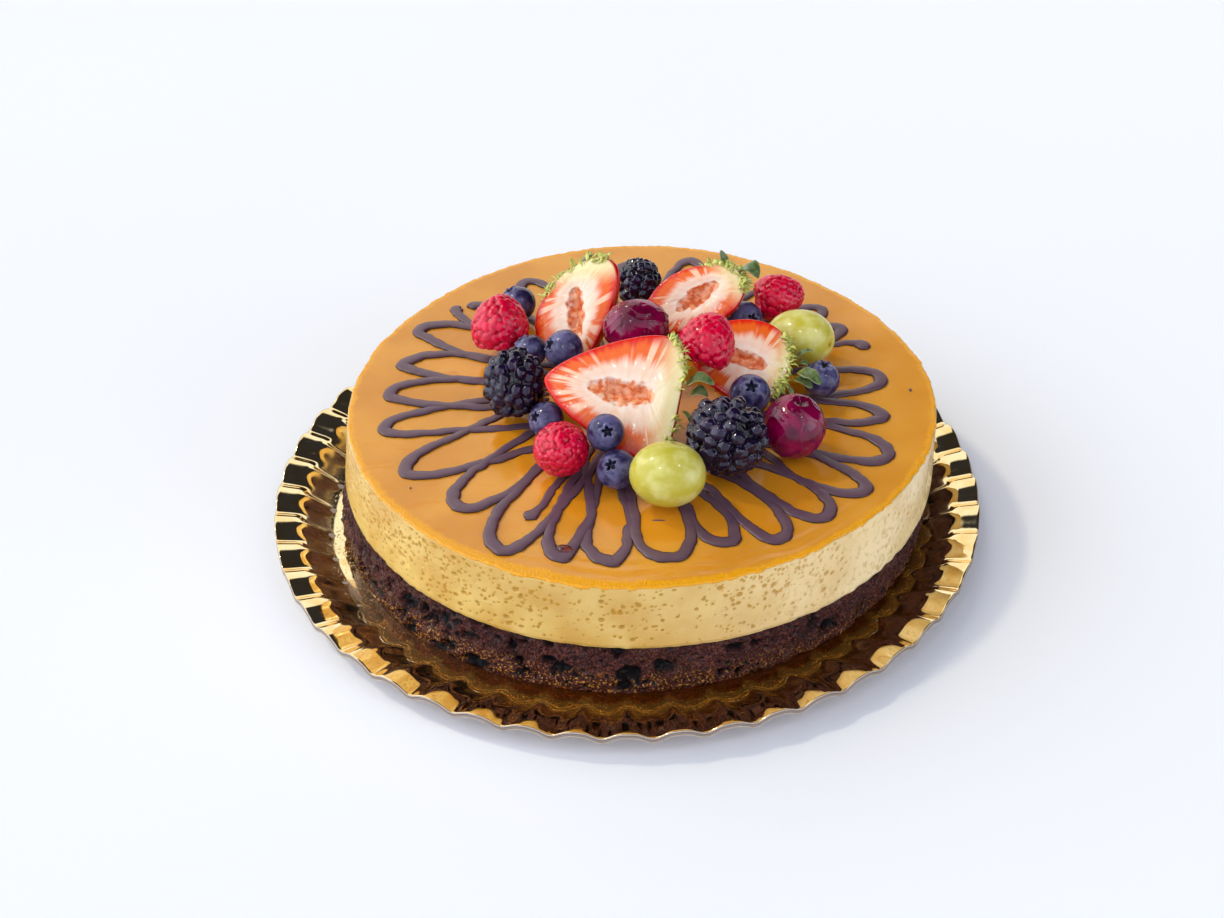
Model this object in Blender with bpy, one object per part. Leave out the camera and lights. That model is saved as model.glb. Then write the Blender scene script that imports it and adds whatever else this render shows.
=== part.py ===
"""A chocoflan on its fluted gold cake tray, with chocolate drizzle and fresh fruit.

Run it in Blender 4.5. Sizes are in millimetres, and MM turns them into the scene's metres.
The tray's underside is at z = 0 and its middle is the origin. Angles are in degrees, from +X
towards +Y, and the front is -Y. Places on the cake are measured from the cake's own axis, and
heights of fruit from the top of the cake.
"""

import math
import random

import bmesh
import bpy
from mathutils import Vector

MM = 0.001
GAP = 0.3  # kept between pieces that touch

# The tray: card, pressed into flutes that rise from the floor to a flat lip.
CARD = 1.8
FLUTES = 48
FLOOR_RADIUS = 113.0
WALL_RADIUS = 133.0
LIP_RADIUS = 140.8
WALL_HEIGHT = 10.0
LIP_HEIGHT = 11.2
FLUTE_RISE = 1.25

# The cake, from the syrup up. Each outline is a radius about the cake's axis and a shift of centre.
CAKE_X, CAKE_Y = 5.9, 4.3
SYRUP_LEVEL = 4.0
CAKE_SEAT_RADIUS = 111.5
CAKE_FOOT_HEIGHT = 7.2
CAKE_FOOT = (117.3, -3.6, 0.8)
FLAN_BASE_HEIGHT = 25.5
FLAN_BASE = (117.0, -0.9, 1.7)
TOP_HEIGHT = 53.5
TOP_RADIUS = 114.0
CARAMEL = 1.2

# The drizzle: loops piped out from under the fruit, each given by its angle and its reach.
STROKE_WIDTH = 4.0
STROKE_HEIGHTS = (0.7, 0.8, 0.9)  # they alternate, so that loops that cross share no face
LOOP_START = 50.0
LOOP_OPENING = 0.13  # share of the line left out at each end, which keeps its two ends apart
LOOP_WIDTH = 17.5
LOOPS = (
    (6, 98), (18, 99), (28, 95), (39, 98), (52, 100), (65, 101), (78, 102), (92, 101), (106, 100),
    (121, 100), (138, 101), (152, 103), (166, 100), (179, 101), (192, 102), (208, 101), (224, 98),
    (241, 107), (254, 104), (265, 102), (277, 100), (290, 97), (301, 103), (312, 104), (324, 104),
    (338, 104), (352, 97),
)

# The fruit: place of its middle, half length along its axis, half width, and the axis' direction
# and tilt, from the stem to the tip.
RASPBERRIES = (
    ((-55.3, 31.0, 14.2), 12.8, 12.2, 80, 60),
    ((26.2, -5.3, 29.1), 12.0, 11.5, 60, 50),
    ((-29.3, -50.8, 12.9), 12.2, 10.8, -90, 30),
    ((56.9, 53.2, 11.5), 11.5, 10.0, 10, 5),
)
BRAMBLES = (
    ((-48.0, -11.5, 15.7), 14.5, 12.7, 90, 70),
    ((0.4, 64.3, 12.2), 11.0, 10.0, 90, 60),
    ((31.9, -50.3, 17.7), 17.2, 15.4, -50, 30),
)
BLUEBERRIES = (
    ((-49.4, 55.1, 8.8), 7.0, 7.4, 160, 60),
    ((-29.4, 10.6, 15.9), 7.2, 8.0, 200, 35),
    ((-43.0, 15.9, 11.7), 6.3, 7.0, 160, 50),
    ((-35.5, -26.1, 8.7), 6.4, 7.2, 215, 35),
    ((-12.7, -47.3, 18.0), 6.4, 7.0, -80, 38),
    ((-8.7, -58.2, 9.0), 6.8, 7.5, -120, 50),
    ((43.0, 41.1, 8.9), 6.8, 7.4, -60, 30),
    ((42.0, -19.6, 14.6), 7.2, 7.9, -85, 60),
    ((70.6, -1.8, 8.9), 6.8, 7.4, 0, 80),
)
GRAPES = (
    ((9.9, -68.3, 14.2), 14.0, 12.2, 180, 4),
    ((64.0, 21.0, 13.1), 14.0, 11.2, -25, 10),
)
CHERRIES = (
    ((-0.7, 16.1, 22.3), 13.4, 11.0, 0, 0),
    ((57.6, -39.6, 13.8), 12.5, 11.6, 0, 80),
)

# Halved strawberries: place of the cut face's middle, its length, width and the depth behind it,
# the way it faces (direction and tilt) and the turn of its stem-to-tip line from the level. The
# last three shape the outline: where it is widest, how blunt it is and how far it leans.
STRAWBERRIES = (
    ((-10.5, -29.9, 24.8), (52.0, 48.0, 18.0), (-96, 47), 173, (0.43, 0.62, 0.0)),
    ((-24.8, 28.0, 19.9), (41.5, 37.0, 16.0), (-120, 42), -66, (0.66, 0.70, -0.43)),
    ((20.7, 37.8, 20.1), (45.5, 27.5, 13.5), (-107, 48), -136, (0.83, 0.67, -0.36)),
    ((38.2, 0.9, 18.3), (40.5, 35.5, 14.0), (-87, 58), 158, (0.69, 0.59, 0.0)),
)
# The leaves of each strawberry's crown: the tip's place, the blade's width and its bow.
CROWNS = (
    (((31.0, -19.0, 30.0), 9.0, 4.0), ((29.0, -24.5, 22.0), 8.0, 2.0), ((16.5, -42.0, 12.0), 4.0, 1.5)),
    (((-38.5, 40.0, 27.5), 5.0, 2.6), ((-13.8, 46.0, 39.0), 5.0, 2.8), ((-9.0, 47.5, 33.0), 5.0, 1.6)),
    (((32.3, 51.0, 37.5), 6.0, 1.5), ((52.0, 42.5, 29.0), 10.0, 3.0), ((18.5, 55.5, 28.5), 6.0, 2.0)),
    (((64.5, 6.3, 28.5), 6.0, 3.0), ((76.0, -18.7, 21.5), 8.0, 3.0), ((61.5, -20.0, 11.0), 4.0, 1.0)),
)
LEAF_THICKNESS = 1.2


def clear_scene():
    for obj in list(bpy.data.objects):
        bpy.data.objects.remove(obj)


def material(name, colour, roughness, metallic=0.0):
    made = bpy.data.materials.new(name)
    made.use_nodes = True
    surface = made.node_tree.nodes["Principled BSDF"]
    surface.inputs["Base Color"].default_value = (*colour, 1.0)
    surface.inputs["Roughness"].default_value = roughness
    surface.inputs["Metallic"].default_value = metallic
    made.diffuse_color = (*colour, 1.0)
    return made


def mesh_object(name, points, faces, surface):
    """An object of this name with these points, in millimetres, and its faces turned outwards."""
    mesh = bpy.data.meshes.new(name)
    mesh.from_pydata([Vector(point) * MM for point in points], [], faces)
    mesh.materials.append(surface)
    shape = bmesh.new()
    shape.from_mesh(mesh)
    bmesh.ops.recalc_face_normals(shape, faces=shape.faces)
    shape.to_mesh(mesh)
    shape.free()
    obj = bpy.data.objects.new(name, mesh)
    bpy.context.scene.collection.objects.link(obj)
    return obj


def loft(rings, closed=False):
    """Points and faces of a skin through rings of points. A ring of one point is a tip.

    An end ring of more points gets one flat face, unless the rings close on themselves.
    """
    points = [point for ring in rings for point in ring]
    starts = [sum(len(ring) for ring in rings[:i]) for i in range(len(rings))]
    count = max(len(ring) for ring in rings)
    faces = []
    pairs = list(zip(range(len(rings)), range(1, len(rings))))
    if closed:
        pairs.append((len(rings) - 1, 0))
    for low, high in pairs:
        for i in range(count):
            after = (i + 1) % count
            if len(rings[low]) == 1:
                faces.append((starts[low], starts[high] + i, starts[high] + after))
            elif len(rings[high]) == 1:
                faces.append((starts[low] + i, starts[high], starts[low] + after))
            else:
                faces.append((starts[low] + i, starts[high] + i, starts[high] + after, starts[low] + after))
    for end in (0, -1):
        if not closed and len(rings[end]) > 1:
            faces.append(tuple(starts[end] + i for i in range(len(rings[end]))))
    return points, faces


def ring(radius, height, steps, centre=(0.0, 0.0)):
    """A level ring. The radius and the height are numbers or functions of the angle in radians."""
    made = []
    for i in range(steps):
        angle = math.tau * i / steps
        reach = radius(angle) if callable(radius) else radius
        level = height(angle) if callable(height) else height
        made.append((centre[0] + reach * math.cos(angle), centre[1] + reach * math.sin(angle), level))
    return made


def fuse(name, pieces, surface):
    """One object joined from the pieces by a Boolean union, which are then removed."""
    others = bpy.data.collections.new(name)
    for piece in pieces[1:]:
        bpy.context.scene.collection.objects.unlink(piece)
        others.objects.link(piece)
    base = pieces[0]
    join = base.modifiers.new("join", "BOOLEAN")
    join.operation = "UNION"
    join.operand_type = "COLLECTION"
    join.collection = others
    joined = bpy.data.meshes.new_from_object(base.evaluated_get(bpy.context.evaluated_depsgraph_get()))
    for piece in pieces:
        bpy.data.objects.remove(piece)
    bpy.data.collections.remove(others)
    joined.materials.clear()
    joined.materials.append(surface)
    made = bpy.data.objects.new(name, joined)
    bpy.context.scene.collection.objects.link(made)
    return made


def on_cake(place):
    """A place measured from the cake's axis and its top, as a point from the origin."""
    return Vector((place[0] + CAKE_X, place[1] + CAKE_Y, place[2] + TOP_HEIGHT))


def direction(turn, tilt):
    turn, tilt = math.radians(turn), math.radians(tilt)
    return Vector((math.cos(turn) * math.cos(tilt), math.sin(turn) * math.cos(tilt), math.sin(tilt)))


def across(axis):
    """Two directions square to the axis and to each other."""
    side = axis.cross(Vector((0, 0, 1)) if abs(axis.z) < 0.9 else Vector((0, 1, 0))).normalized()
    return side, axis.cross(side)


# The tray and the syrup in it


def flute(angle):
    """Height of the flutes, from -1 in a groove to 1 on a broad crest."""
    return 2 * abs(math.cos(FLUTES * angle / 2)) ** 0.7 - 1


def wall_height(radius):
    """Height of the tray's inner face, where it rises from the floor, without the flutes."""
    slope = (WALL_HEIGHT - CARD) / (WALL_RADIUS - FLOOR_RADIUS)
    return CARD + max(0.0, radius - FLOOR_RADIUS) * slope


def make_tray():
    steps = FLUTES * 4
    wall_top = lambda angle: WALL_HEIGHT + FLUTE_RISE * flute(angle)
    lip_top = lambda angle: LIP_HEIGHT + FLUTE_RISE * flute(angle)
    rings = [
        ring(FLOOR_RADIUS - CARD, 0, steps),
        ring(WALL_RADIUS, lambda angle: wall_top(angle) - CARD, steps),
        ring(LIP_RADIUS, lambda angle: lip_top(angle) - CARD, steps),
        ring(LIP_RADIUS, lip_top, steps),
        ring(WALL_RADIUS, wall_top, steps),
        ring(FLOOR_RADIUS, CARD, steps),
    ]
    mesh_object("tray", *loft(rings), material("gold_foil", (0.62, 0.42, 0.14), 0.18, 1.0))


def outline(circle):
    """Radius of a shifted circle, seen from the cake's axis, as a function of the angle."""
    radius, x, y = circle
    return lambda angle: x * math.cos(angle) + y * math.sin(angle) + math.sqrt(
        radius**2 - (x * math.sin(angle) - y * math.cos(angle)) ** 2
    )


def from_tray(circle):
    """The same circle, measured from the tray's axis."""
    radius, x, y = circle
    return (radius, x + CAKE_X, y + CAKE_Y)


def make_syrup():
    floor = CARD + GAP
    share = (SYRUP_LEVEL - floor) / (CAKE_FOOT_HEIGHT - floor)
    foot = outline(from_tray(CAKE_FOOT))
    inner = lambda angle: CAKE_SEAT_RADIUS + share * (foot(angle) - CAKE_SEAT_RADIUS) + GAP
    outer = FLOOR_RADIUS
    while wall_height(outer) + 1.5 * GAP < SYRUP_LEVEL:
        outer += 0.1
    steps = 72
    rings = [
        ring(CAKE_SEAT_RADIUS + GAP, floor, steps),
        ring(inner, SYRUP_LEVEL, steps),
        ring(outer, SYRUP_LEVEL, steps),
        ring(FLOOR_RADIUS - GAP, floor, steps),
    ]
    mesh_object("syrup", *loft(rings, closed=True), material("caramel_syrup", (0.16, 0.05, 0.01), 0.08))


# The cake, from the foot up


def make_cake():
    centre = (CAKE_X, CAKE_Y)
    steps = 96
    draw = random.Random(7)
    crags = [draw.uniform(-1.1, 0.3) for _ in range(2 * steps)]
    top = FLAN_BASE_HEIGHT - GAP
    foot = outline(CAKE_FOOT)
    joint = outline((FLAN_BASE[0] - 0.5, *FLAN_BASE[1:]))
    rough = lambda angle, row: crags[row * steps + round(angle / math.tau * steps) % steps]
    rings = [
        ring(CAKE_SEAT_RADIUS, CARD + GAP, steps),
        ring(foot, CAKE_FOOT_HEIGHT, steps, centre),
        ring(lambda angle: foot(angle) + rough(angle, 0), 12.0, steps, centre),
        ring(lambda angle: joint(angle) + rough(angle, 1), 19.0, steps, centre),
        ring(joint, top, steps, centre),
    ]
    mesh_object("chocolate_cake", *loft(rings), material("chocolate", (0.045, 0.02, 0.015), 0.6))


def rim(angle):
    """Radius of the cake's top, which isn't quite round."""
    return TOP_RADIUS + 0.8 * math.cos(3 * angle + math.radians(36)) + 0.8 * math.cos(4 * angle)


def make_flan():
    centre = (CAKE_X, CAKE_Y)
    steps = 96
    top = TOP_HEIGHT - CARAMEL - GAP
    base = outline(FLAN_BASE)
    rings = [
        ring(base, FLAN_BASE_HEIGHT, steps, centre),
        ring(lambda angle: rim(angle) + 0.2, top - 1.5, steps, centre),
        ring(lambda angle: rim(angle) - 0.8, top, steps, centre),
    ]
    mesh_object("flan", *loft(rings), material("custard", (0.78, 0.55, 0.22), 0.4))


def loop_stroke(angle, reach, height):
    """One loop of drizzle: a ribbon along a drop-shaped line, with its ends under the fruit."""
    steps = 12
    turn = math.radians(angle)
    out = Vector((math.cos(turn), math.sin(turn), 0))
    side = Vector((-out.y, out.x, 0))
    length = reach - STROKE_WIDTH / 2 - LOOP_START
    lay = TOP_HEIGHT - CARAMEL / 2
    line = []
    for i in range(steps + 1):
        around = math.tau * (LOOP_OPENING + (1 - 2 * LOOP_OPENING) * i / steps)
        swing = math.sin(around) * math.sin(around / 2) / 0.77
        run = LOOP_START + length * (1 - math.cos(around)) / 2
        line.append(out * run + side * swing * (LOOP_WIDTH - STROKE_WIDTH) / 2)
    rings = []
    for i, spot in enumerate(line):
        along = (line[min(i + 1, steps)] - line[max(i - 1, 0)]).normalized()
        edge = Vector((-along.y, along.x, 0)) * STROKE_WIDTH / 2
        middle = spot + Vector((CAKE_X, CAKE_Y, 0))
        rings.append([
            middle - edge + Vector((0, 0, lay)),
            middle + edge + Vector((0, 0, lay)),
            middle + edge * 0.4 + Vector((0, 0, TOP_HEIGHT + height)),
            middle - edge * 0.4 + Vector((0, 0, TOP_HEIGHT + height)),
        ])
    return loft(rings)


def make_caramel():
    """The amber caramel skin, with the loops of drizzle fused to it."""
    centre = (CAKE_X, CAKE_Y)
    steps = 96
    surface = material("caramel", (0.72, 0.30, 0.04), 0.15)
    rings = [
        ring(lambda angle: rim(angle) - 0.6, TOP_HEIGHT - CARAMEL, steps, centre),
        ring(rim, TOP_HEIGHT - CARAMEL / 2, steps, centre),
        ring(lambda angle: rim(angle) - 0.6, TOP_HEIGHT, steps, centre),
    ]
    pieces = [mesh_object("skin", *loft(rings), surface)]
    for number, (angle, reach) in enumerate(LOOPS):
        height = STROKE_HEIGHTS[number % len(STROKE_HEIGHTS)]
        pieces.append(mesh_object("stroke", *loop_stroke(angle, reach, height), surface))
    fuse("caramel_top", pieces, surface)


# The fruit


def turned(place, axis, profile, steps):
    """A solid of revolution about the axis through the place, from (along, radius) pairs."""
    side, up = across(axis)
    rings = []
    for along, radius in profile:
        if radius == 0:
            rings.append([place + axis * along])
            continue
        rings.append([
            place + axis * along + (side * math.cos(a) + up * math.sin(a)) * radius
            for a in (math.tau * i / steps for i in range(steps))
        ])
    return loft(rings)


def oval(half_length, half_width, rows):
    """(along, radius) pairs of half an oval's outline, without its two tips."""
    angles = [math.pi * (i + 1) / (rows + 1) for i in range(rows)]
    return [(-half_length * math.cos(a), half_width * math.sin(a)) for a in angles]


def make_cluster(name, berry, surface, rows, columns, swell):
    """A raspberry or bramble: an oval covered with rows of drupelets laid like bricks.

    The joints between drupelets are a net of points on the oval, and each drupelet is a fan of
    six triangles from the net to a raised point over its middle.
    """
    place, half_length, half_width, turn, tilt = berry
    axis = direction(turn, tilt)
    side, up = across(axis)
    middle = on_cake(place)

    def spot(latitude, step, scale):
        angle = math.pi * step / columns
        return middle + scale * (
            axis * half_length * math.sin(latitude)
            + (side * math.cos(angle) + up * math.sin(angle)) * half_width * math.cos(latitude)
        )

    band = math.radians(150) / rows
    first = -math.radians(75)
    points, faces = [], []
    for row in range(rows + 1):
        for step in range(2 * columns):
            zigzag = band * 0.16 * (1 if (step + row) % 2 else -1)
            points.append(spot(first + band * row + zigzag, step, 1 - swell))
    around = 2 * columns
    for row in range(rows):
        for cell in range(columns):
            step = 2 * cell + (row % 2)
            top = len(points)
            points.append(spot(first + band * (row + 0.5), step + 1, 1.0))
            net = [row * around + (step + k) % around for k in (0, 1, 2)]
            net += [(row + 1) * around + (step + k) % around for k in (2, 1, 0)]
            faces += [(net[k], net[(k + 1) % 6], top) for k in range(6)]
    for row, latitude in ((0, -math.pi / 2), (rows, math.pi / 2)):
        top = len(points)
        points.append(spot(latitude, 0, 1 - swell / 2))
        faces += [(row * around + k, row * around + (k + 1) % around, top) for k in range(around)]
    mesh_object(name, points, faces, surface)


def make_blueberry(name, berry, surface):
    """A flattened ball with the low crown and dimple that face the way it points."""
    place, half_length, half_width, turn, tilt = berry
    body = oval(half_length, half_width, 6)[:-1]
    crown = [
        (half_length * 0.96, half_width * 0.42),
        (half_length * 1.06, half_width * 0.38),
        (half_length * 0.90, half_width * 0.22),
        (half_length * 0.78, 0),
    ]
    profile = [(-half_length, 0), *body, *crown]
    mesh_object(name, *turned(on_cake(place), direction(turn, tilt), profile, 10), surface)


def make_grape(name, berry, surface):
    place, half_length, half_width, turn, tilt = berry
    profile = [(-half_length, 0), *oval(half_length, half_width, 7), (half_length, 0)]
    mesh_object(name, *turned(on_cake(place), direction(turn, tilt), profile, 12), surface)


def make_cherry(name, berry, surface):
    """A pitted cherry: a ball with a shallow dent where the stem was."""
    place, half_length, half_width, turn, tilt = berry
    profile = [(-half_length, 0), *oval(half_length, half_width, 7), (half_length * 0.86, 0)]
    mesh_object(name, *turned(on_cake(place), direction(turn, tilt), profile, 12), surface)


def cut_face(facing, roll):
    """The directions out of a cut face, from its stem to its tip, and across it."""
    normal = direction(*facing)
    level = Vector((0, 0, 1)).cross(normal).normalized()
    upward = normal.cross(level)
    along = level * math.cos(math.radians(roll)) + upward * math.sin(math.radians(roll))
    return normal, along, normal.cross(along)


def make_strawberry(name, half, surface):
    """Half a strawberry: a flat cut face in front of a rounded back."""
    place, (length, width, depth), facing, roll, (widest, blunt, lean) = half
    normal, along, sideways = cut_face(facing, roll)
    middle = on_cake(place)
    rows, arc = 9, 8
    rings = [[middle - along * length / 2]]
    for row in range(1, rows):
        run = (1 - math.cos(math.pi * row / rows)) / 2
        spread = math.sin(math.pi * run**widest) ** blunt
        across_half = width / 2 * spread
        back = depth * spread**0.8
        rings.append([
            middle
            + along * ((run - 0.5) * length + lean * across_half * math.cos(a))
            + sideways * across_half * math.cos(a)
            - normal * back * math.sin(a)
            for a in (math.pi * k / arc for k in range(arc + 1))
        ])
    rings.append([middle + along * length / 2])
    mesh_object(name, *loft(rings), surface)


def leaf_blade(base, tip, width, bow):
    """A thin pointed blade from base to tip, bowed upwards, with a slightly folded lens for its section."""
    along = (tip - base).normalized()
    side = along.cross(Vector((0, 0, 1))).normalized()
    up = side.cross(along)
    steps = 5
    rings = [[base]]
    for i in range(1, steps):
        share = i / steps
        middle = base.lerp(tip, share) + up * bow * math.sin(math.pi * share)
        half = side * width / 2 * math.sin(math.pi * share) ** 0.8
        fold = up * 0.2 * half.length
        half_thick = up * LEAF_THICKNESS / 2
        rings.append([middle - half + fold, middle + half_thick, middle + half + fold, middle - half_thick])
    rings.append([tip])
    return loft(rings)


def make_crown(name, half, leaves, surface):
    """The leafy crown of a strawberry: a small cap off its stem end, and its leaves."""
    place, (length, _, _), facing, roll, _ = half
    normal, along, _ = cut_face(facing, roll)
    hub = on_cake(place) - along * (length / 2 + 2.6) - normal * 3.0
    cap = [(-2.2, 0), (-1.2, 2.6), (0.4, 3.4), (1.6, 2.2), (2.0, 0)]
    pieces = [mesh_object("cap", *turned(hub, along, cap, 8), surface)]
    for tip, width, bow in leaves:
        base = hub - (on_cake(tip) - hub).normalized() * 0.6
        pieces.append(mesh_object("leaf", *leaf_blade(base, on_cake(tip), width, bow), surface))
    fuse(name, pieces, surface)


def make_fruit():
    red = material("strawberry", (0.75, 0.08, 0.04), 0.3)
    green = material("strawberry_leaf", (0.22, 0.32, 0.06), 0.5)
    for number, (half, leaves) in enumerate(zip(STRAWBERRIES, CROWNS), 1):
        make_strawberry(f"strawberry_{number}", half, red)
        make_crown(f"crown_{number}", half, leaves, green)
    pink = material("raspberry", (0.65, 0.03, 0.09), 0.35)
    for number, berry in enumerate(RASPBERRIES, 1):
        make_cluster(f"raspberry_{number}", berry, pink, 6, 9, 0.08)
    black = material("bramble", (0.02, 0.012, 0.025), 0.2)
    for number, berry in enumerate(BRAMBLES, 1):
        make_cluster(f"bramble_{number}", berry, black, 6, 8, 0.10)
    blue = material("blueberry", (0.05, 0.06, 0.14), 0.5)
    for number, berry in enumerate(BLUEBERRIES, 1):
        make_blueberry(f"blueberry_{number}", berry, blue)
    pale = material("grape", (0.5, 0.55, 0.12), 0.15)
    for number, berry in enumerate(GRAPES, 1):
        make_grape(f"grape_{number}", berry, pale)
    dark = material("cherry", (0.16, 0.0, 0.03), 0.1)
    for number, berry in enumerate(CHERRIES, 1):
        make_cherry(f"cherry_{number}", berry, dark)


clear_scene()
make_tray()
make_syrup()
make_cake()
make_flan()
make_caramel()
make_fruit()
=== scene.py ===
import bpy
import numpy as np
from mathutils import Matrix, Vector


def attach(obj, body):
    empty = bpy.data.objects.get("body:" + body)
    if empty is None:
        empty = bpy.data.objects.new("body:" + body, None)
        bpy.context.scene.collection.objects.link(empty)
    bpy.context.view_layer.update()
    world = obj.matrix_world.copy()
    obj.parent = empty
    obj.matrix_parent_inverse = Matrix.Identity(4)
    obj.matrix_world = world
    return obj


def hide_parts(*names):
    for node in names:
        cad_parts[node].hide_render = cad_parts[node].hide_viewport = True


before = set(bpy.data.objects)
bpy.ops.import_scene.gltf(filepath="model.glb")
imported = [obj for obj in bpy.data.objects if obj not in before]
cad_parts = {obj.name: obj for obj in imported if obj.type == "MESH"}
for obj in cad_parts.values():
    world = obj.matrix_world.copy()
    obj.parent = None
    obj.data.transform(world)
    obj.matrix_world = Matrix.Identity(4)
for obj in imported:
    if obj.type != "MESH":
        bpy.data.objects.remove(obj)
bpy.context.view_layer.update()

# Sizes are in millimetres, measured from the middle of the tray's underside, and MM turns them
# into the scene's metres. Angles are in degrees, from +X towards +Y, and the front is -Y.

# ----------------------------
# The table and the studio. A lilac-white sheet lies under the tray and sweeps up behind it. A
# small warm lamp stands high behind the cake's left shoulder, and two weak ones in front, whose
# only work is to glint in the glaze. The room is white in front and overhead, and dim above the
# top of the sweep, so gold and glaze have something dark to mirror.
# ----------------------------
MM = 0.001
LAMP_FROM, LAMP_POWER, LAMP_SPREAD = (-0.574, 0.210, 0.791), 0.66, 4.5
CATCH_FROM, CATCH_POWER, CATCH_SPREAD = ((-0.30, -0.50, 0.81), (0.50, -0.30, 0.81)), 0.1, 2.0
WARM, WHITE = (1.0, 0.94, 0.64), (1.0, 1.0, 1.0)
SWEEP, ROOM, DIM, ROOM_GLOW = (255, 253, 250), (214, 222, 246), (44, 44, 50), 1.2
SWEEP_TOP, SWEEP_LEAN = 0.65, -1.0
SIDES, SIDE_GLOW = (236, 243, 255), 2.3
SHEET, SHEET_SHADE = (243, 243, 245), (240, 240, 242)
TABLE = ((-9, -4, 0), (9, -4, 0), (9, 14, 0), (-9, 14, 0))  # in metres, far past the picture's edge


def tone(colour):
    """A colour of three numbers from 0 to 255 as a shader takes it; anything else as it is."""
    if not isinstance(colour, tuple) or len(colour) != 3:
        return colour
    shares = np.array(colour) / 255
    return (*np.where(shares < 0.04045, shares / 12.92, ((shares + 0.055) / 1.055) ** 2.4), 1.0)


class Finish:
    """A material under the maker's hands: its surface, and short ways to add a node to it.

    Where a method takes a value, it is a number, a node's output or the name of a mark, which
    is a number kept at the points of the mesh. Soft is the share of light that goes below the
    surface, how far it goes there, and how far each colour of it.
    """

    def __init__(self, name, tree=None, soft=(), relief=None, **values):
        if tree is None:
            self.material = bpy.data.materials.new(name)
            self.material.use_nodes = True
            tree = self.material.node_tree
            self.surface = tree.nodes["Principled BSDF"]
        self.tree = tree
        values.update(zip(("Subsurface_Weight", "Subsurface_Scale", "Subsurface_Radius"), soft))
        for key, value in values.items():
            self.put(key.replace("_", " "), value)
        if relief:
            self.put("Normal", self.relief(*relief))

    def give(self, socket, value):
        if isinstance(value, bpy.types.NodeSocket):
            self.tree.links.new(value, socket)
        else:
            socket.default_value = value

    def put(self, socket, value):
        self.give(self.surface.inputs[socket], value)

    def add(self, kind, sockets=None, **settings):
        made = self.tree.nodes.new("ShaderNode" + kind)
        for key, value in settings.items():
            setattr(made, key, value)
        for key, value in (sockets or {}).items():
            self.give(made.inputs[key], value)
        return made

    def where(self):
        return self.add("TexCoord").outputs["Object"]

    def read(self, value, output="Fac"):
        if isinstance(value, str):
            return self.add("Attribute", attribute_name=value).outputs[output]
        return value

    def grain(self, size, detail=2.0, vector=None, stretch=(1, 1, 1)):
        """Noise with lumps of about this size in millimetres, squeezed along each axis."""
        spot = self.add("Mapping", {"Vector": vector or self.where(), "Scale": stretch}).outputs[0]
        scale = 1000 / size if vector is None else 1 / size
        return self.add("TexNoise", {"Vector": spot, "Scale": scale, "Detail": detail}).outputs["Fac"]

    def cells(self, size):
        sockets = {"Vector": self.where(), "Scale": 1000 / size}
        return self.add("TexVoronoi", sockets).outputs["Distance"]

    def math(self, way, first, second=0.5):
        return self.add("Math", {0: self.read(first), 1: self.read(second)}, operation=way).outputs[0]

    def plus(self, first, second):
        return self.math("ADD", first, second)

    def times(self, first, second):
        return self.math("MULTIPLY", first, second)

    def ramp(self, value, low, high, start=0.0, end=1.0):
        """The value carried from low..high to start..end, and held there beyond them."""
        sockets = {"Value": self.read(value), "From Min": low, "From Max": high, "To Min": start, "To Max": end}
        return self.add("MapRange", sockets, interpolation_type="SMOOTHSTEP").outputs[0]

    def mix(self, mask, first, second, *span):
        """From the first colour to the second by the mask, ramped over the span if one is given."""
        made = self.add("Mix", data_type="RGBA")
        mask = self.ramp(mask, *span) if span else self.read(mask)
        for key, value in (("Factor", mask), ("A", tone(first)), ("B", tone(second))):
            self.give(next(s for s in made.inputs if s.name == key and s.enabled), value)
        return next(s for s in made.outputs if s.enabled)

    def paint(self, tint, *coats):
        """The base colour: a tint under coats, each a colour, its mask and the mask's span."""
        for colour, mask, *span in coats:
            tint = self.mix(mask, tint, colour, *span)
        self.put("Base Color", tint)

    def bump(self, height, depth, strength, before):
        """A relief of this depth in millimetres over another one."""
        sockets = {"Height": self.read(height), "Distance": depth * MM, "Strength": strength, "Normal": before}
        return self.add("Bump", sockets).outputs[0]

    def relief(self, size, depth, strength=0.5, detail=2.0, before=None):
        """The shared relief: lumps of this size and depth in millimetres."""
        before = before or self.add("NewGeometry").outputs["Normal"]
        sockets = {"Size": size, "Depth": depth, "Strength": strength, "Detail": detail, "Normal": before}
        return self.add("Group", sockets, node_tree=relief_group).outputs["Normal"]

    def mottle(self, size, low, high, first, second, detail=2.0):
        """The shared mottle: two colours in patches of this size in millimetres."""
        sockets = {"Size": size, "Detail": detail, "Low": low, "High": high}
        sockets.update(First=tone(first), Second=tone(second))
        return self.add("Group", sockets, node_tree=mottle_group).outputs["Color"]


def node_group(name, output, kind, **inputs):
    """An empty group with these named inputs and one output: its nodes, its inputs and its end."""
    made = bpy.data.node_groups.new(name, "ShaderNodeTree")
    for key, value in inputs.items():
        sort = {float: "Float", tuple: "Color"}.get(type(value), "Vector")
        socket = made.interface.new_socket(key, in_out="INPUT", socket_type="NodeSocket" + sort)
        if value is not None:
            socket.default_value = value
    made.interface.new_socket(output, in_out="OUTPUT", socket_type="NodeSocket" + kind)
    given, end = made.nodes.new("NodeGroupInput").outputs, made.nodes.new("NodeGroupOutput").inputs
    return Finish(name, tree=made), given, end[output]


def noise_of(inside, given):
    """Noise on the object's own coordinates, with lumps of the group's size in millimetres."""
    scale = inside.math("DIVIDE", 1000.0, given["Size"])
    sockets = {"Vector": inside.where(), "Scale": scale, "Detail": given["Detail"]}
    return inside.add("TexNoise", sockets).outputs["Fac"]


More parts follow.
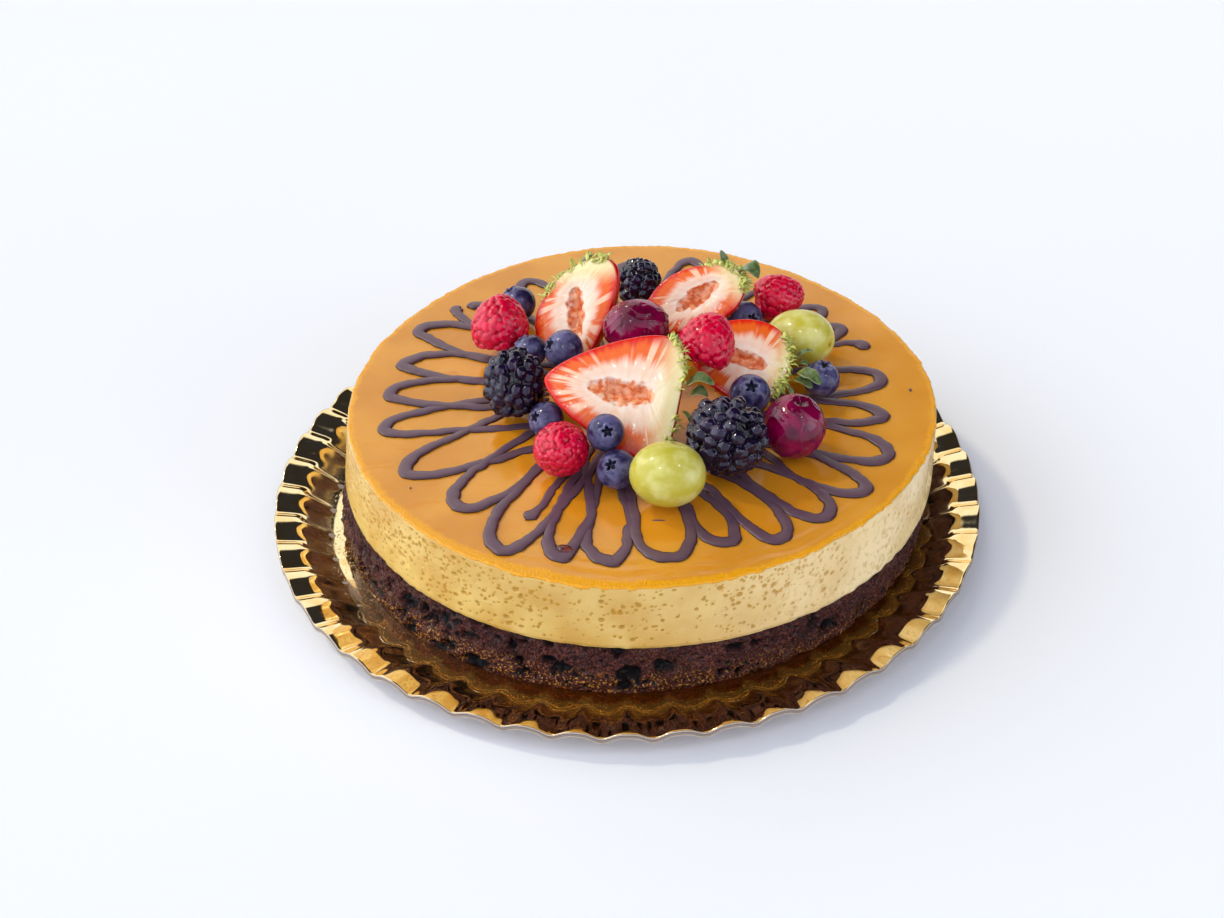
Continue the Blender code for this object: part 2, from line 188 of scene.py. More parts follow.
inside, given, end = node_group(
    "relief", "Normal", "Vector", Size=2.0, Detail=2.0, Depth=0.1, Strength=0.5, Normal=None)
inside.give(end, inside.add("Bump", {
    "Height": noise_of(inside, given), "Distance": inside.times(given["Depth"], MM),
    "Strength": given["Strength"], "Normal": given["Normal"]}).outputs[0])
relief_group = inside.tree

inside, given, end = node_group(
    "mottle", "Color", "Color", Size=5.0, Detail=2.0, Low=0.3, High=0.7,
    First=(*WHITE, 1.0), Second=(*WHITE, 1.0))
inside.give(end, inside.mix(
    noise_of(inside, given), given["First"], given["Second"], given["Low"], given["High"]))
mottle_group = inside.tree


def show(name, data):
    """An object with this data, in the scene."""
    made = bpy.data.objects.new(name, data)
    bpy.context.scene.collection.objects.link(made)
    return made


sheet = Finish("white_sheet", Roughness=0.75, Specular_IOR_Level=0.15)
sheet.paint(sheet.mix(sheet.grain(260, 1.0), SHEET, SHEET_SHADE))
table = bpy.data.meshes.new("table")
table.from_pydata(TABLE, [], [(0, 1, 2, 3)])
table.materials.append(sheet.material)
show("table", table)

lights = [(LAMP_FROM, LAMP_POWER, LAMP_SPREAD, WARM)]
lights += [(way, CATCH_POWER, CATCH_SPREAD, WHITE) for way in CATCH_FROM]
for number, (way, power, spread, colour) in enumerate(lights):
    lamp = bpy.data.lights.new(f"lamp_{number}", "SUN")
    lamp.energy, lamp.angle, lamp.color = power, np.radians(spread), colour
    show(f"lamp_{number}", lamp).rotation_euler = Vector(way).to_track_quat("Z", "Y").to_euler()

room = bpy.data.worlds.new("room")
room.use_nodes = True
bpy.context.scene.world = room
walls = Finish("room", tree=room.node_tree)
walls.surface = room.node_tree.nodes["Background"]
way = walls.add("SeparateXYZ", {0: walls.add("TexCoord").outputs["Generated"]}).outputs
above = walls.math("SUBTRACT", way["Z"], walls.plus(walls.times(way["X"], SWEEP_LEAN), SWEEP_TOP))
gloom = walls.times(walls.ramp(way["Y"], -0.28, -0.05), walls.ramp(above, -0.03, 0.05))
side_light = (*np.array(tone(SIDES)[:3]) * SIDE_GLOW, 1.0)
lit = walls.mix(way["Y"], ROOM, SWEEP, -0.5, 0.3)
lit = walls.mix(walls.math("ABSOLUTE", way["X"]), lit, side_light, 0.5, 0.8)
walls.put("Color", walls.mix(gloom, lit, DIM))
walls.put("Strength", ROOM_GLOW)
bpy.context.scene.view_settings.view_transform = "Standard"

# ----------------------------
# The camera stands in front of the cake and a little above it, on a long lens.
# ----------------------------
EYE = (5.9, -667.68, 530.60)
PAN, PITCH, ROLL = 0.971, 37.042, -1.376
LENS, SENSOR = 61.76, 36

camera = show("camera", bpy.data.cameras.new("camera"))
camera.data.lens, camera.data.sensor_width = LENS, SENSOR
stand = Matrix.Translation(Vector(EYE) * MM)
for angle, axis in ((PAN, "Z"), (90 - PITCH, "X"), (ROLL, "Z")):
    stand = stand @ Matrix.Rotation(np.radians(angle), 4, axis)
camera.matrix_world = stand
bpy.context.scene.camera = camera

# ----------------------------
# The tray: two plies of card pressed together into 48 flutes, with pale gold foil on the upper
# face and bare card below. The cut edge shows the plies as thin lines.
# ----------------------------
CARD = 1.8
FLUTES, FLUTE_RISE = 48, 1.25
FLOOR_RADIUS, WALL_RADIUS, LIP_RADIUS = 114.5, 131.5, 140.8
WALL_HEIGHT, LIP_HEIGHT = 9.5, 11.2
# at the bare side the syrup is nearly gone and the floor reaches further out
BARE_SIDE, BARE_SPREAD = 180, 42
FLOOR_SIDE, FLOOR_REACH = 185, 3.6
# the cut edge, from the foil down: how far in and down each line of it lies, and how dark it is
EDGE = 2.5
EDGE_IN = (0.0, 0.0, 0.25, 0.25, 0.0, 0.0, 0.2, 0.2, 0.0, 0.05, 0.4)
EDGE_DOWN = (0.12, 0.62, 0.70, 0.92, 1.0, 1.62, 1.68, 1.80, 1.88, 2.35, EDGE)
EDGE_DARK = (0, 0, 1, 1, 0.5, 0.5, 0.9, 0.9, 0.1, 0.1, 0.3)
UNDER_DARK = 0.2
NO_CREASE = 9
FOIL_COLUMNS = 1344
GOLD, GOLD_DEEP = (246, 226, 176), (240, 206, 138)
CARD_PALE, CARD_GREY, PLY_GAP = (190, 172, 152), (142, 126, 114), (52, 38, 32)


def column(*values):
    """These numbers as one column, with a row for each."""
    return np.concatenate([np.atleast_1d(value) for value in values])[:, None]


def stacked(counts, *values):
    """Rows of a mark: each value, a number or an array, spread over its count of rows."""
    wide = max(np.shape(value)[-1] if np.ndim(value) else 1 for value in values)
    return np.concatenate([np.broadcast_to(value, (count, wide)) for count, value in zip(counts, values)])


def xyz(x, y, z):
    """Points from their three coordinates, each a number or an array."""
    return np.stack(np.broadcast_arrays(x, y, z), -1)


def polar(radius, height, angle, centre=(0.0, 0.0)):
    """Points at this radius and height around a centre, row by row."""
    return xyz(centre[0] + radius * np.cos(angle), centre[1] + radius * np.sin(angle), height)


def turn(columns):
    """Angles once around, one for each column."""
    return np.linspace(0, 2 * np.pi, columns, endpoint=False)


def skin(points, start=None, end=None, hoop=False, **marks):
    """A closed skin over rows of points that each run once around, as arrays for a mesh.

    Each face joins two neighbours of a row to the same two of the next, and the last column
    joins the first. The end rows close to the start and end points, or in a hoop to each other.
    Marks are numbers or vectors kept at the points for the finish to read.
    """
    rows, columns = points.shape[:2]
    steps = rows if hoop else rows - 1
    row, across = (a.reshape(-1, 1) for a in np.mgrid[:steps, :columns])
    r, c = row + [0, 0, 1, 1], across + [0, 1, 1, 0]
    faces = [(r % rows * columns + c % columns, np.stack([c / columns, r / steps], -1))]
    around = np.arange(columns)[:, None]
    poles = [(pole, at) for pole, at in ((start, 0), (end, rows - 1)) if pole is not None]
    for number, (_, at) in enumerate(poles):
        c = around + [0, 1]
        corners = np.concatenate([at * columns + c % columns, 0 * around + rows * columns + number], 1)
        spots = np.concatenate([c, around + 0.5], 1) / columns
        spots = np.stack([spots, 0 * spots + at / (rows - 1)], -1)
        faces.append((corners[:, ::-1], spots[:, ::-1]) if at == 0 else (corners, spots))
    kept = {}
    for name, values in marks.items():
        values = np.broadcast_to(values, (rows, columns, *np.shape(values)[2:]))
        ends = [values[at].mean(0, keepdims=True) for _, at in poles]
        kept[name] = np.concatenate([values.reshape(rows * columns, *values.shape[2:]), *ends])
    points = np.concatenate([points.reshape(-1, 3), *[np.reshape(pole, (1, 3)) for pole, _ in poles]])
    quads = faces[0][0]
    triangles = np.concatenate([quads[:, :3], quads[:, [0, 2, 3]], *[ids for ids, _ in faces[1:]]])
    if np.linalg.det(points[triangles]).sum() < 0:
        faces = [(ids[:, ::-1], spots[:, ::-1]) for ids, spots in faces]
    return points, faces, kept


def piece(name, skins, finish, slot, *nodes):
    """An object made of one or more skins. It rides with the cake and stands for these solids."""
    points = np.concatenate([part[0] for part in skins]) * MM
    first = np.cumsum([0] + [len(part[0]) for part in skins])
    faces, spots = [], []
    for start, (_, sides, _) in zip(first, skins):
        for ids, spot in sides:
            faces += (ids + start).tolist()
            spots.append(spot.reshape(-1, 2))
    mesh = bpy.data.meshes.new(name)
    mesh.from_pydata(points.tolist(), [], faces)
    mesh.uv_layers.new(name="around").data.foreach_set("uv", np.concatenate(spots).ravel())
    for mark in skins[0][2]:
        values = np.concatenate([part[2][mark] for part in skins])
        kind, key = ("FLOAT", "value") if values.ndim == 1 else ("FLOAT_VECTOR", "vector")
        mesh.attributes.new(mark, kind, "POINT").data.foreach_set(key, values.astype(np.float32).ravel())
    mesh.shade_smooth()
    mesh.materials.append(finish.material)
    made = show(name, mesh)
    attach(made, "root")
    if nodes:
        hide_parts(*nodes)


def ease(value, low, high):
    """0 below low, 1 above high, and 3t² - 2t³ between them."""
    share = np.clip((value - low) / (high - low), 0, 1)
    return share * share * (3 - 2 * share)


def lumps(points, size, seed):
    """Smooth noise from -1 to 1: drawn numbers on a lattice of this size, eased between its corners."""
    table = np.random.default_rng(seed).uniform(-1, 1, (32, 32, 32))
    cell = np.floor(points / size).astype(int)
    share = points / size - cell
    share = share * share * (3 - 2 * share)
    total = 0
    for corner in np.ndindex(2, 2, 2):
        weight = np.prod(np.where(np.array(corner) == 1, share, 1 - share), axis=-1)
        total = total + weight * table[tuple(np.moveaxis((cell + corner) % 32, -1, 0))]
    return total


def bell(value, spread):
    """1 at zero, falling off on both sides as exp(-(value / spread)²)."""
    return np.exp(-((value / spread) ** 2))


def near(angle, middle, spread):
    """A bell of the angle's distance from the middle one, in degrees."""
    return bell((np.degrees(angle) - middle + 180) % 360 - 180, spread)


def flute(angle, radius):
    """Height of the flutes, -1 to 1: broad crests at the lip, cos a - 0.2 cos 2a + 0.2, and narrow
    ones on the wall, 2 ((1 + cos a) / 2)^4 - 1, with a pitch that wanders a little."""
    a = FLUTES * angle + 0.12 * np.sin(5 * angle) + 0.1 * np.sin(11 * angle)
    broad = np.cos(a) - 0.2 * np.cos(2 * a) + 0.2
    narrow = 2 * ((1 + np.cos(a)) / 2) ** 4 - 1
    return narrow + (broad - narrow) * ease(radius, WALL_RADIUS - 5, WALL_RADIUS + 1.5)


def foil_height(angle, radius):
    """Height of the foil: the floor, a slope with rounded ends mixed with an S of 3t² - 2t³ up the
    wall, and a lip that climbs slowly."""
    floor = FLOOR_RADIUS + FLOOR_REACH * near(angle, FLOOR_SIDE, BARE_SPREAD)
    slope = (WALL_HEIGHT - CARD) / (WALL_RADIUS - floor)
    rise = slope * 0.5 * (radius - floor + np.sqrt((radius - floor) ** 2 + 0.8))
    climb = 0.5 * (rise + WALL_HEIGHT - CARD - np.sqrt((rise - WALL_HEIGHT + CARD) ** 2 + 0.3))
    climb = 0.45 * climb + 0.55 * (WALL_HEIGHT - CARD) * ease(radius, floor, WALL_RADIUS - 0.5)
    lip = (LIP_HEIGHT - WALL_HEIGHT) * np.clip((radius - WALL_RADIUS) / (LIP_RADIUS - WALL_RADIUS), 0, 1)
    share = ease(radius, floor, floor + 8)
    uneven = 0.1 * lumps(polar(radius, 0, angle), 10, 6) + 0.02 * lumps(polar(radius, 0, angle), 4, 7)
    return CARD + climb + lip + share * (FLUTE_RISE * (0.96 * flute(angle, radius)) + uneven)


flute_angle = turn(FOIL_COLUMNS)
top_radius = column(
    60, 100, 112, np.arange(114, WALL_RADIUS + 2.5, 0.75), 134.9, 136.2, 137.5, 138.8, 139.7, 140.3)
lip_top = foil_height(flute_angle, column(LIP_RADIUS))
under_radius = column(137.0, WALL_RADIUS, 124.0, FLOOR_RADIUS - CARD, 60.0)
under_height = np.concatenate([
    lip_top - EDGE - 0.3, foil_height(flute_angle, under_radius[1:3]) - CARD, np.zeros((2, FOIL_COLUMNS))])
tray_points = np.concatenate([
    polar(top_radius, foil_height(flute_angle, top_radius), flute_angle),
    polar(LIP_RADIUS - column(*EDGE_IN), lip_top - column(*EDGE_DOWN), flute_angle),
    polar(under_radius, under_height, flute_angle)])
parts = len(top_radius), len(EDGE_IN), len(under_radius)
dry = near(flute_angle, BARE_SIDE, BARE_SPREAD)
crease_at = FLOOR_RADIUS + 4.0 - 1.7 * np.cos(FLUTES * flute_angle)
crease_at = crease_at + 0.9 * lumps(polar(column(120.0), 0, flute_angle), 7, 18)
tray_marks = dict(
    card=stacked(parts, 0, 1, 1),
    ply=stacked(parts, 0, column(*EDGE_DARK), UNDER_DARK),
    foot=stacked(parts, (1 - ease(top_radius, 116, 124)) * (1 - 0.75 * dry), 0, 0),
    crease=stacked(parts, top_radius - crease_at, NO_CREASE, NO_CREASE),
    wet=1 - dry,
    wall=stacked(parts, ease(top_radius, 117, 121) * (1 - ease(top_radius, 127, 131)), 0, 0),
)

foil = Finish("gold_foil", Metallic=1.0)
is_card = foil.ramp("card", 0.45, 0.55)
plies = foil.mix("ply", CARD_PALE, CARD_GREY, 0.2, 0.5)
plies = foil.mix("ply", plies, PLY_GAP, 0.6, 0.9)
plies = foil.mix(foil.grain(0.8), plies, CARD_GREY, 0.3, 0.8, 0.0, 0.4)
foil.paint(foil.mottle(7.0, 0.35, 0.75, GOLD, GOLD_DEEP, 3.0), (plies, is_card))
foil.put("Metallic", foil.math("SUBTRACT", 1.0, is_card))
hazed = foil.plus(foil.ramp(foil.grain(2.2), 0.35, 0.7, 0.03, 0.09), foil.times("wall", 0.13))
foil.put("Roughness", foil.plus(hazed, foil.times(is_card, 0.5)))
flecks = foil.times("foot", foil.ramp(foil.grain(1.4, 3.0), 0.6, 0.7))
crease = foil.plus("crease", foil.ramp(foil.grain(2.5, 3.0), 0.2, 0.8, -0.8, 0.8))
beside = foil.math("ABSOLUTE", foil.math("SUBTRACT", crease, 1.6))
lines = foil.plus(foil.ramp(foil.math("ABSOLUTE", crease), 0.45, 0.0), foil.ramp(beside, 0.4, 0.0))
lines = foil.times(lines, foil.ramp("wet", 0.3, 0.8))
foil.put("Normal", foil.bump(foil.plus(lines, flecks), 0.5, 0.9, foil.relief(7.0, 0.14, 0.22)))
piece("tray_foil", [skin(tray_points, (0, 0, CARD), (0, 0, 0), **tray_marks)], foil, "gold_foil", "tray")

# ----------------------------
# The syrup: clear caramel that ran off the cake and stands in the tray. The foil shows through
# it, dark amber at the front where it has gathered and nearly clear at the left and the back.
# ----------------------------
CAKE = (5.9, 4.3)
SYRUP_LEVEL = 4.0
CAKE_SEAT_RADIUS = 111.5
CAKE_FOOT = (117.3, -3.6, 0.8)
SYRUP_FOOT, SYRUP_DEEP, SYRUP_AMBER = (166, 84, 20), (200, 112, 24), (246, 178, 74)
SYRUP_GLINT, SYRUP_CLEAR = (255, 206, 96), (252, 244, 214)
TRIAL_ROWS = 120
# where the syrup is nearly clear, and where it is drawn up the cake's side: angle and spread
CLEAR_LEFT, CLEAR_BACK, LOW_LEFT, DRAWN_UP = (178, 36), (100, 62), (190, 32), (-52, 30)


def outline(circle, angle, shift=(0.0, 0.0)):
    """Radius of a circle (radius, x, y) seen from a point, by the law of cosines."""
    radius, x, y = circle[0], circle[1] + shift[0], circle[2] + shift[1]
    away = x * np.sin(angle) - y * np.cos(angle)
    return x * np.cos(angle) + y * np.sin(angle) + np.sqrt(radius**2 - away**2)


clear = np.clip(near(flute_angle, *CLEAR_LEFT) + 0.9 * near(flute_angle, *CLEAR_BACK), 0, 1)
level = SYRUP_LEVEL - 1.6 * clear - 1.2 * near(flute_angle, *LOW_LEFT)
trial = np.linspace(FLOOR_RADIUS - 1, WALL_RADIUS, TRIAL_ROWS)[:, None]
wet = foil_height(flute_angle, trial) < level + 0.2
shore = FLOOR_RADIUS - 1 + wet.sum(0) * (WALL_RADIUS - FLOOR_RADIUS + 1) / (TRIAL_ROWS - 1)
shore = (np.roll(shore, 1) + 2 * shore + np.roll(shore, -1)) / 4
inner_shore = CAKE_SEAT_RADIUS + 0.37 * (outline(CAKE_FOOT, flute_angle, CAKE) - CAKE_SEAT_RADIUS)
inner_rows = inner_shore + column(-1.6, -0.3, 0.0, 0.5, 1.2, 2.2)
back = column(3.0, 2.0, 1.1, 0.5, 0.0)
outer_rows = np.maximum(shore - back, inner_rows[-1] + 0.3 + 0.1 * (3 - back))
between = inner_rows[-1] + (outer_rows[0] - inner_rows[-1]) * column(0.25, 0.5, 0.75)
syrup_radius = np.concatenate([inner_rows, between, outer_rows])
climbs = 0.25 + 0.75 * near(flute_angle, *DRAWN_UP)
creep = 0.85 * climbs * np.exp(-((syrup_radius - inner_shore - 0.2) / 0.8).clip(0) ** 1.5)
creep += 0.12 * np.exp(-((shore - 0.3 - syrup_radius) / 0.8).clip(0) ** 1.5)
creep[0] = 0.0
syrup_points = np.stack([
    *polar(syrup_radius, level + creep, flute_angle),
    polar(shore + 0.9, level - 0.4, flute_angle),
    polar(np.minimum(shore, FLOOR_RADIUS + 0.5), CARD - 0.5, flute_angle),
    polar(CAKE_SEAT_RADIUS - 1.5, CARD - 0.4, flute_angle)]).transpose(1, 0, 2)
thin = stacked((len(syrup_radius), 3), ease(syrup_radius, shore - 7.0, shore - 0.5), 0).T

syrup = Finish("caramel_syrup", relief=(5.0, 0.1, 0.4), Roughness=0.03, IOR=1.4, Transmission_Weight=0.9)
pool = syrup.mottle(8.0, 0.35, 0.75, SYRUP_DEEP, SYRUP_AMBER, 3.0)
# painted glints: small bright gold specks in the syrup's tint stand for the foil glinting through it
pool = syrup.mottle(1.7, 0.56, 0.66, pool, SYRUP_GLINT, 3.0)
syrup.paint(syrup.mix("thin", SYRUP_FOOT, pool, 0.0, 0.3), (SYRUP_AMBER, "thin"), (SYRUP_CLEAR, "clear"))
syrup_skin = skin(syrup_points, hoop=True, thin=thin, clear=clear[:, None])
piece("syrup_pool", [syrup_skin], syrup, "caramel_syrup", "syrup")

# ----------------------------
# The chocolate cake: a moist dark sponge, baked with the flan and turned out under it. Its side
# is all crumb, torn into deep pores that hold painted shade. Low on the side, where caramel has
# soaked in, it is flecked with painted golden glints.
# ----------------------------
SEAT_HEIGHT, CAKE_FOOT_HEIGHT = 2.1, 7.2
FLAN_BASE = (117.0, -0.9, 1.7)
FLAN_BASE_HEIGHT = 25.5
CRUMB_TOP = FLAN_BASE_HEIGHT - 0.3
CRUMB_COLUMNS = 1440
# spacing and radii of the pores, and how deep they are cut
SMALL_PORES, LARGE_PORES, SMALL_DEPTH, LARGE_DEPTH = (2.3, (0.45, 1.4)), (8.0, (2.2, 6.2)), 1.1, 4.2
# where the side is torn open, and where caramel has soaked in and golden glints are painted: angle and spread
TORN_FRONT, TORN_RIGHT, SOAK_GLINTS = (232, 30), (330, 60), (240, 50)
CRUMB_PORE_SHADE, CRUMB, CRUMB_PALE, CRUMB_SOAK_GLINT = (4, 0, 3), (38, 10, 14), (124, 64, 48), (214, 150, 58)


def pits(points, spacing, radii, share, seed):
    """Depth of scattered pits, from 0 at the edge to 1 in the middle.

    Some cells of a lattice of this spacing hold a pit, at a drawn place and of a drawn radius.
    Its depth is 1 - (distance / radius)², and the deepest pit of the 27 cells around counts.
    """
    drawn = np.random.default_rng(seed).random((32, 32, 32, 5))
    cell = np.floor(points / spacing).astype(int)
    depth = np.zeros(points.shape[:-1])
    for step in np.ndindex(3, 3, 3):
        beside = cell + step - 1
        site = drawn[tuple(np.moveaxis(beside % 32, -1, 0))]
        radius = radii[0] + (radii[1] - radii[0]) * site[..., 3] ** 2
        gap = np.linalg.norm(points - (beside + site[..., :3]) * spacing, axis=-1) / radius
        depth = np.maximum(depth, np.where(site[..., 4] < share, 1 - gap**2, 0))
    return depth


def layer(side, low, high, radius, angle, **marks):
    """A layer of the cake: its side, and flat faces below and above with rings at two radii."""
    rings = column(radius, radius + 50)
    floor, lid = polar(rings, low, angle, CAKE), polar(rings[::-1], high, angle, CAKE)
    marks = {name: stacked((2, len(side), 2), 0, values, 0) for name, values in marks.items()}
    return skin(np.concatenate([floor, side, lid]), (*CAKE, low), (*CAKE, high), **marks)


crumb_angle = turn(CRUMB_COLUMNS)
height = column(SEAT_HEIGHT, 3.0, np.linspace(4.0, CRUMB_TOP, 56))
foot = outline(CAKE_FOOT, crumb_angle)
joint = outline((FLAN_BASE[0] - 0.6, *FLAN_BASE[1:]), crumb_angle)
seat = outline((CAKE_SEAT_RADIUS, -CAKE[0], -CAKE[1]), crumb_angle)
radius = seat + (foot - seat) * ease(height, SEAT_HEIGHT, CAKE_FOOT_HEIGHT + 1)
radius = radius + (joint - foot) * ease(height, CAKE_FOOT_HEIGHT, FLAN_BASE_HEIGHT)
side = polar(radius, height, crumb_angle, CAKE)
free = ease(height, 2.6, 6.0) * (1 - ease(height, FLAN_BASE_HEIGHT - 1.4, CRUMB_TOP))
ragged = side + 1.3 * xyz(lumps(side, 3.5, 8), lumps(side, 3.5, 9), 1.2 * lumps(side, 3.5, 10))
torn_open = near(crumb_angle, *TORN_FRONT) + 0.25 * near(crumb_angle, *TORN_RIGHT)
small_pores = pits(ragged, *SMALL_PORES, 0.8, 31)
large_pores = pits(ragged * [1, 1, 1.3], *LARGE_PORES, 0.16 + 0.66 * torn_open, 32)
rough = 0.5 * lumps(side, 8, 1) + 0.7 * lumps(side, 3.2, 2) + 0.6 * lumps(side, 1.3, 3)
cut = SMALL_DEPTH * small_pores**0.7 + LARGE_DEPTH * large_pores**0.5
radius = radius + (rough - cut) * (0.2 + 0.8 * free) - 0.45
side = polar(radius, height + 0.3 * free * lumps(side, 3, 4), crumb_angle, CAKE)
# lower side, most at the front left: where caramel soaked in, and where painted golden glints go
soaked = ease(height, 17, 8) * (0.35 + 0.65 * near(crumb_angle, *SOAK_GLINTS)) * free

crumb = Finish("chocolate", relief=(0.9, 0.6, 0.8, 4.0), Specular_IOR_Level=0.25)
crumb.paint(
    crumb.mix(crumb.grain(0.75, 4.0), CRUMB, CRUMB_PALE, 0.40, 0.72),
    (CRUMB, crumb.grain(14), 0.3, 0.7, 0.1, 0.6),
    # painted golden glints: fine bright specks over the soaked part
    (CRUMB_SOAK_GLINT, crumb.times(crumb.ramp(crumb.grain(0.9, 3.0), 0.54, 0.66), "soaked")),
    # painted shade: the pores are painted near black, darker the deeper the pore
    (CRUMB_PORE_SHADE, "pore", 0.05, 0.5))
crumb.put("Roughness", crumb.ramp(crumb.grain(3.0, 3.0), 0.4, 0.62, 0.85, 0.35))
crumb_skin = layer(side, SEAT_HEIGHT, CRUMB_TOP, 50, crumb_angle,
                   pore=np.maximum(0.75 * small_pores, large_pores), soaked=soaked)
piece("cake_crumb", [crumb_skin], crumb, "chocolate", "chocolate_cake")

# ----------------------------
# The flan: a baked custard on the sponge. Its side took the smooth wall of the tin, broken by
# crowds of small pores where bubbles stood against the wall, and is wet with its own syrup.
# ----------------------------
TOP_HEIGHT, TOP_RADIUS = 53.5, 114.0
CARAMEL = 1.2
FLAN_FLOOR, FLAN_TOP = FLAN_BASE_HEIGHT - 0.25, TOP_HEIGHT - CARAMEL
FLAN_COLUMNS = 1500
PINHOLES, BUBBLES, PINHOLE_DEPTH, BUBBLE_DEPTH = (1.7, (0.4, 0.85)), (3.2, (0.8, 1.5)), 0.45, 0.7
# where the pores crowd together, and where the custard is creamy: angle and spread
CROWD_LEFT, CROWD_RIGHT, CREAMY = (222, 34), (290, 18), (322, 34)
CUSTARD, CUSTARD_PALE = (206, 160, 74), (220, 184, 102)
CUSTARD_CREAM, CUSTARD_PORE = (250, 226, 176), (184, 132, 16)


def rim(angle):
    """Radius of the cake's top, a circle with slight threefold and fourfold waves."""
    return TOP_RADIUS + 0.8 * np.cos(3 * angle + np.radians(36)) + 0.8 * np.cos(4 * angle)


flan_angle = turn(FLAN_COLUMNS)
height = column(FLAN_FLOOR, FLAN_BASE_HEIGHT, np.linspace(FLAN_BASE_HEIGHT + 0.35, FLAN_TOP, 58))
rise = (height - FLAN_BASE_HEIGHT) / (FLAN_TOP - FLAN_BASE_HEIGHT)
radius = outline(FLAN_BASE, flan_angle) * (1 - rise) + (rim(flan_angle) + 0.1) * rise
side = polar(radius, height, flan_angle, CAKE)
crowd = near(flan_angle, *CROWD_LEFT) * ease(rise, 0.1, 0.55)
crowd = crowd + 0.6 * near(flan_angle, *CROWD_RIGHT) * ease(rise, 0.3, 0.8)
crowding = 0.22 + 0.45 * lumps(side, 22, 11) + 0.9 * crowd
pinholes = pits(side, *PINHOLES, crowding, 12)
bubbles = pits(side * [1, 1, 1.2], *BUBBLES, 0.75 * crowding, 13)
open_side = ease(rise, 0.02, 0.08) * (1 - ease(rise, 0.95, 1.0))
sag = 0.25 * lumps(side, 20, 14) + 0.08 * lumps(side, 5, 15) + 0.10 * lumps(side, 2.2, 17) * (0.3 + crowd)
lower_edge = bell(height - FLAN_BASE_HEIGHT, 0.6) * (0.5 + 0.5 * lumps(side, 3, 16))
radius = radius + sag - (PINHOLE_DEPTH * pinholes + BUBBLE_DEPTH * bubbles) * open_side - lower_edge
side = polar(radius, height, flan_angle, CAKE)
pore = np.maximum(pinholes, bubbles) * open_side
cream = np.clip(near(flan_angle, *CREAMY) * (0.75 + 0.35 * lumps(side, 12, 18)), 0, 1)

custard = Finish("custard", soft=(0.25, 0.002, (1.0, 0.7, 0.3)), Roughness=0.2)
custard.paint(
    custard.mottle(16, 0.3, 0.7, CUSTARD, CUSTARD_PALE),
    (CUSTARD_CREAM, "cream"),
    # painted shade in the pores: brown dots stand for the tiniest pinholes, and the cut pores are browned by
    # their depth, less where the custard is creamy
    (CUSTARD_PORE, custard.cells(1.6), 0.2, 0.05, 0.0, 0.3),
    (CUSTARD_PORE, custard.times(
        custard.ramp("pore", 0.0, 0.5, 0.0, 0.85), custard.ramp("cream", 0.2, 0.9, 1.0, 0.35))),
    (CUSTARD_PORE, custard.times("cream", custard.ramp(custard.grain(2.4, 4.0), 0.5, 0.7, 0.0, 0.5))))
custard.put("Normal", custard.relief(1.3, 0.16, custard.ramp(custard.grain(14), 0.4, 0.65, 0.15, 0.75)))
flan_skin = layer(side, FLAN_FLOOR, FLAN_TOP, 60, flan_angle, pore=pore, cream=cream)
piece("flan_body", [flan_skin], custard, "custard", "flan")

# ----------------------------
# The caramel: a thin amber skin that the flan took from the floor of the tin. Its edge is torn
# and bright, and clear glaze has run out over it in thicker puddles around the fruit.
# ----------------------------
AMBER, AMBER_PALE, AMBER_DEEP = (212, 138, 38), (226, 154, 50), (214, 132, 2)
AMBER_RIM, AMBER_SPOT = (236, 160, 10), (140, 76, 24)
SKIN_COLUMNS = 1100
DROPS, PUDDLE_DEPTH = (21, (2.5, 5.5), 0.12), 0.32
# how far from the cake's axis the glaze has run, by angle
GLAZE_RUN = ((0, 80), (30, 84), (60, 76), (150, 70), (190, 64), (228, 63), (240, 72), (256, 78), (272, 88),
             (290, 90), (300, 97), (314, 94), (330, 86), (350, 80), (360, 80))

skin_angle = turn(SKIN_COLUMNS)
share = column(np.linspace(2, 100, 56), np.linspace(101, TOP_RADIUS - 1.2, 18)) / TOP_RADIUS
flat = polar(share * TOP_RADIUS, TOP_HEIGHT, skin_angle, CAKE)
edge = polar(column(TOP_RADIUS), 0, skin_angle)
torn = 0.3 * lumps(edge, 1.3, 20) + 0.4 * lumps(edge, 3.2, 21) + 0.4 * lumps(edge, 9, 22)
skin_rim = rim(skin_angle) + torn - 0.1
radius = share * skin_rim
reach = np.interp(np.degrees(skin_angle), *np.transpose(GLAZE_RUN)) + 5 * lumps(flat, 9, 24)
puddle = 1 - ease(radius, reach - 1.6, reach + 1.6)
drops = pits(flat, *DROPS, 25) ** 0.5 * (radius < 96)
puddle = np.maximum(puddle, ease(drops, 0.0, 0.35))
ripple = 0.10 * np.sin(radius * 1.1 + 3 * lumps(flat, 16, 28))
ripple = ripple * ease(radius, 88, 100) * near(skin_angle, 268, 40)
height = TOP_HEIGHT - 0.35 + 0.12 * lumps(flat, 24, 26) + 0.05 * lumps(flat, 7, 27)
height = height + PUDDLE_DEPTH * puddle + ripple
height = height - 0.4 * ease(radius, skin_rim - 1.8, skin_rim)
frayed = 0.45 * (1 + lumps(edge, 1.6, 29)) + 0.25 * lumps(edge, 5, 30)
edge_in = column(0.55, 0.15, 0.0, 0.1, 0.6, 14.0, 60.0)
edge_down = column(0.40, 0.60, 0.85, 1.10, 1.25, 1.25, 1.25) + column(0, 0, 0.5, 1, 1, 0, 0) * frayed
skin_points = np.concatenate([
    polar(radius, height, skin_angle, CAKE),
    polar(skin_rim - edge_in, TOP_HEIGHT - edge_down, skin_angle, CAKE)])
crust = skin_rim - (1.4 + 2.6 * near(skin_angle, 250, 32) + 1.4 * frayed)
parts = len(share), len(edge_in)
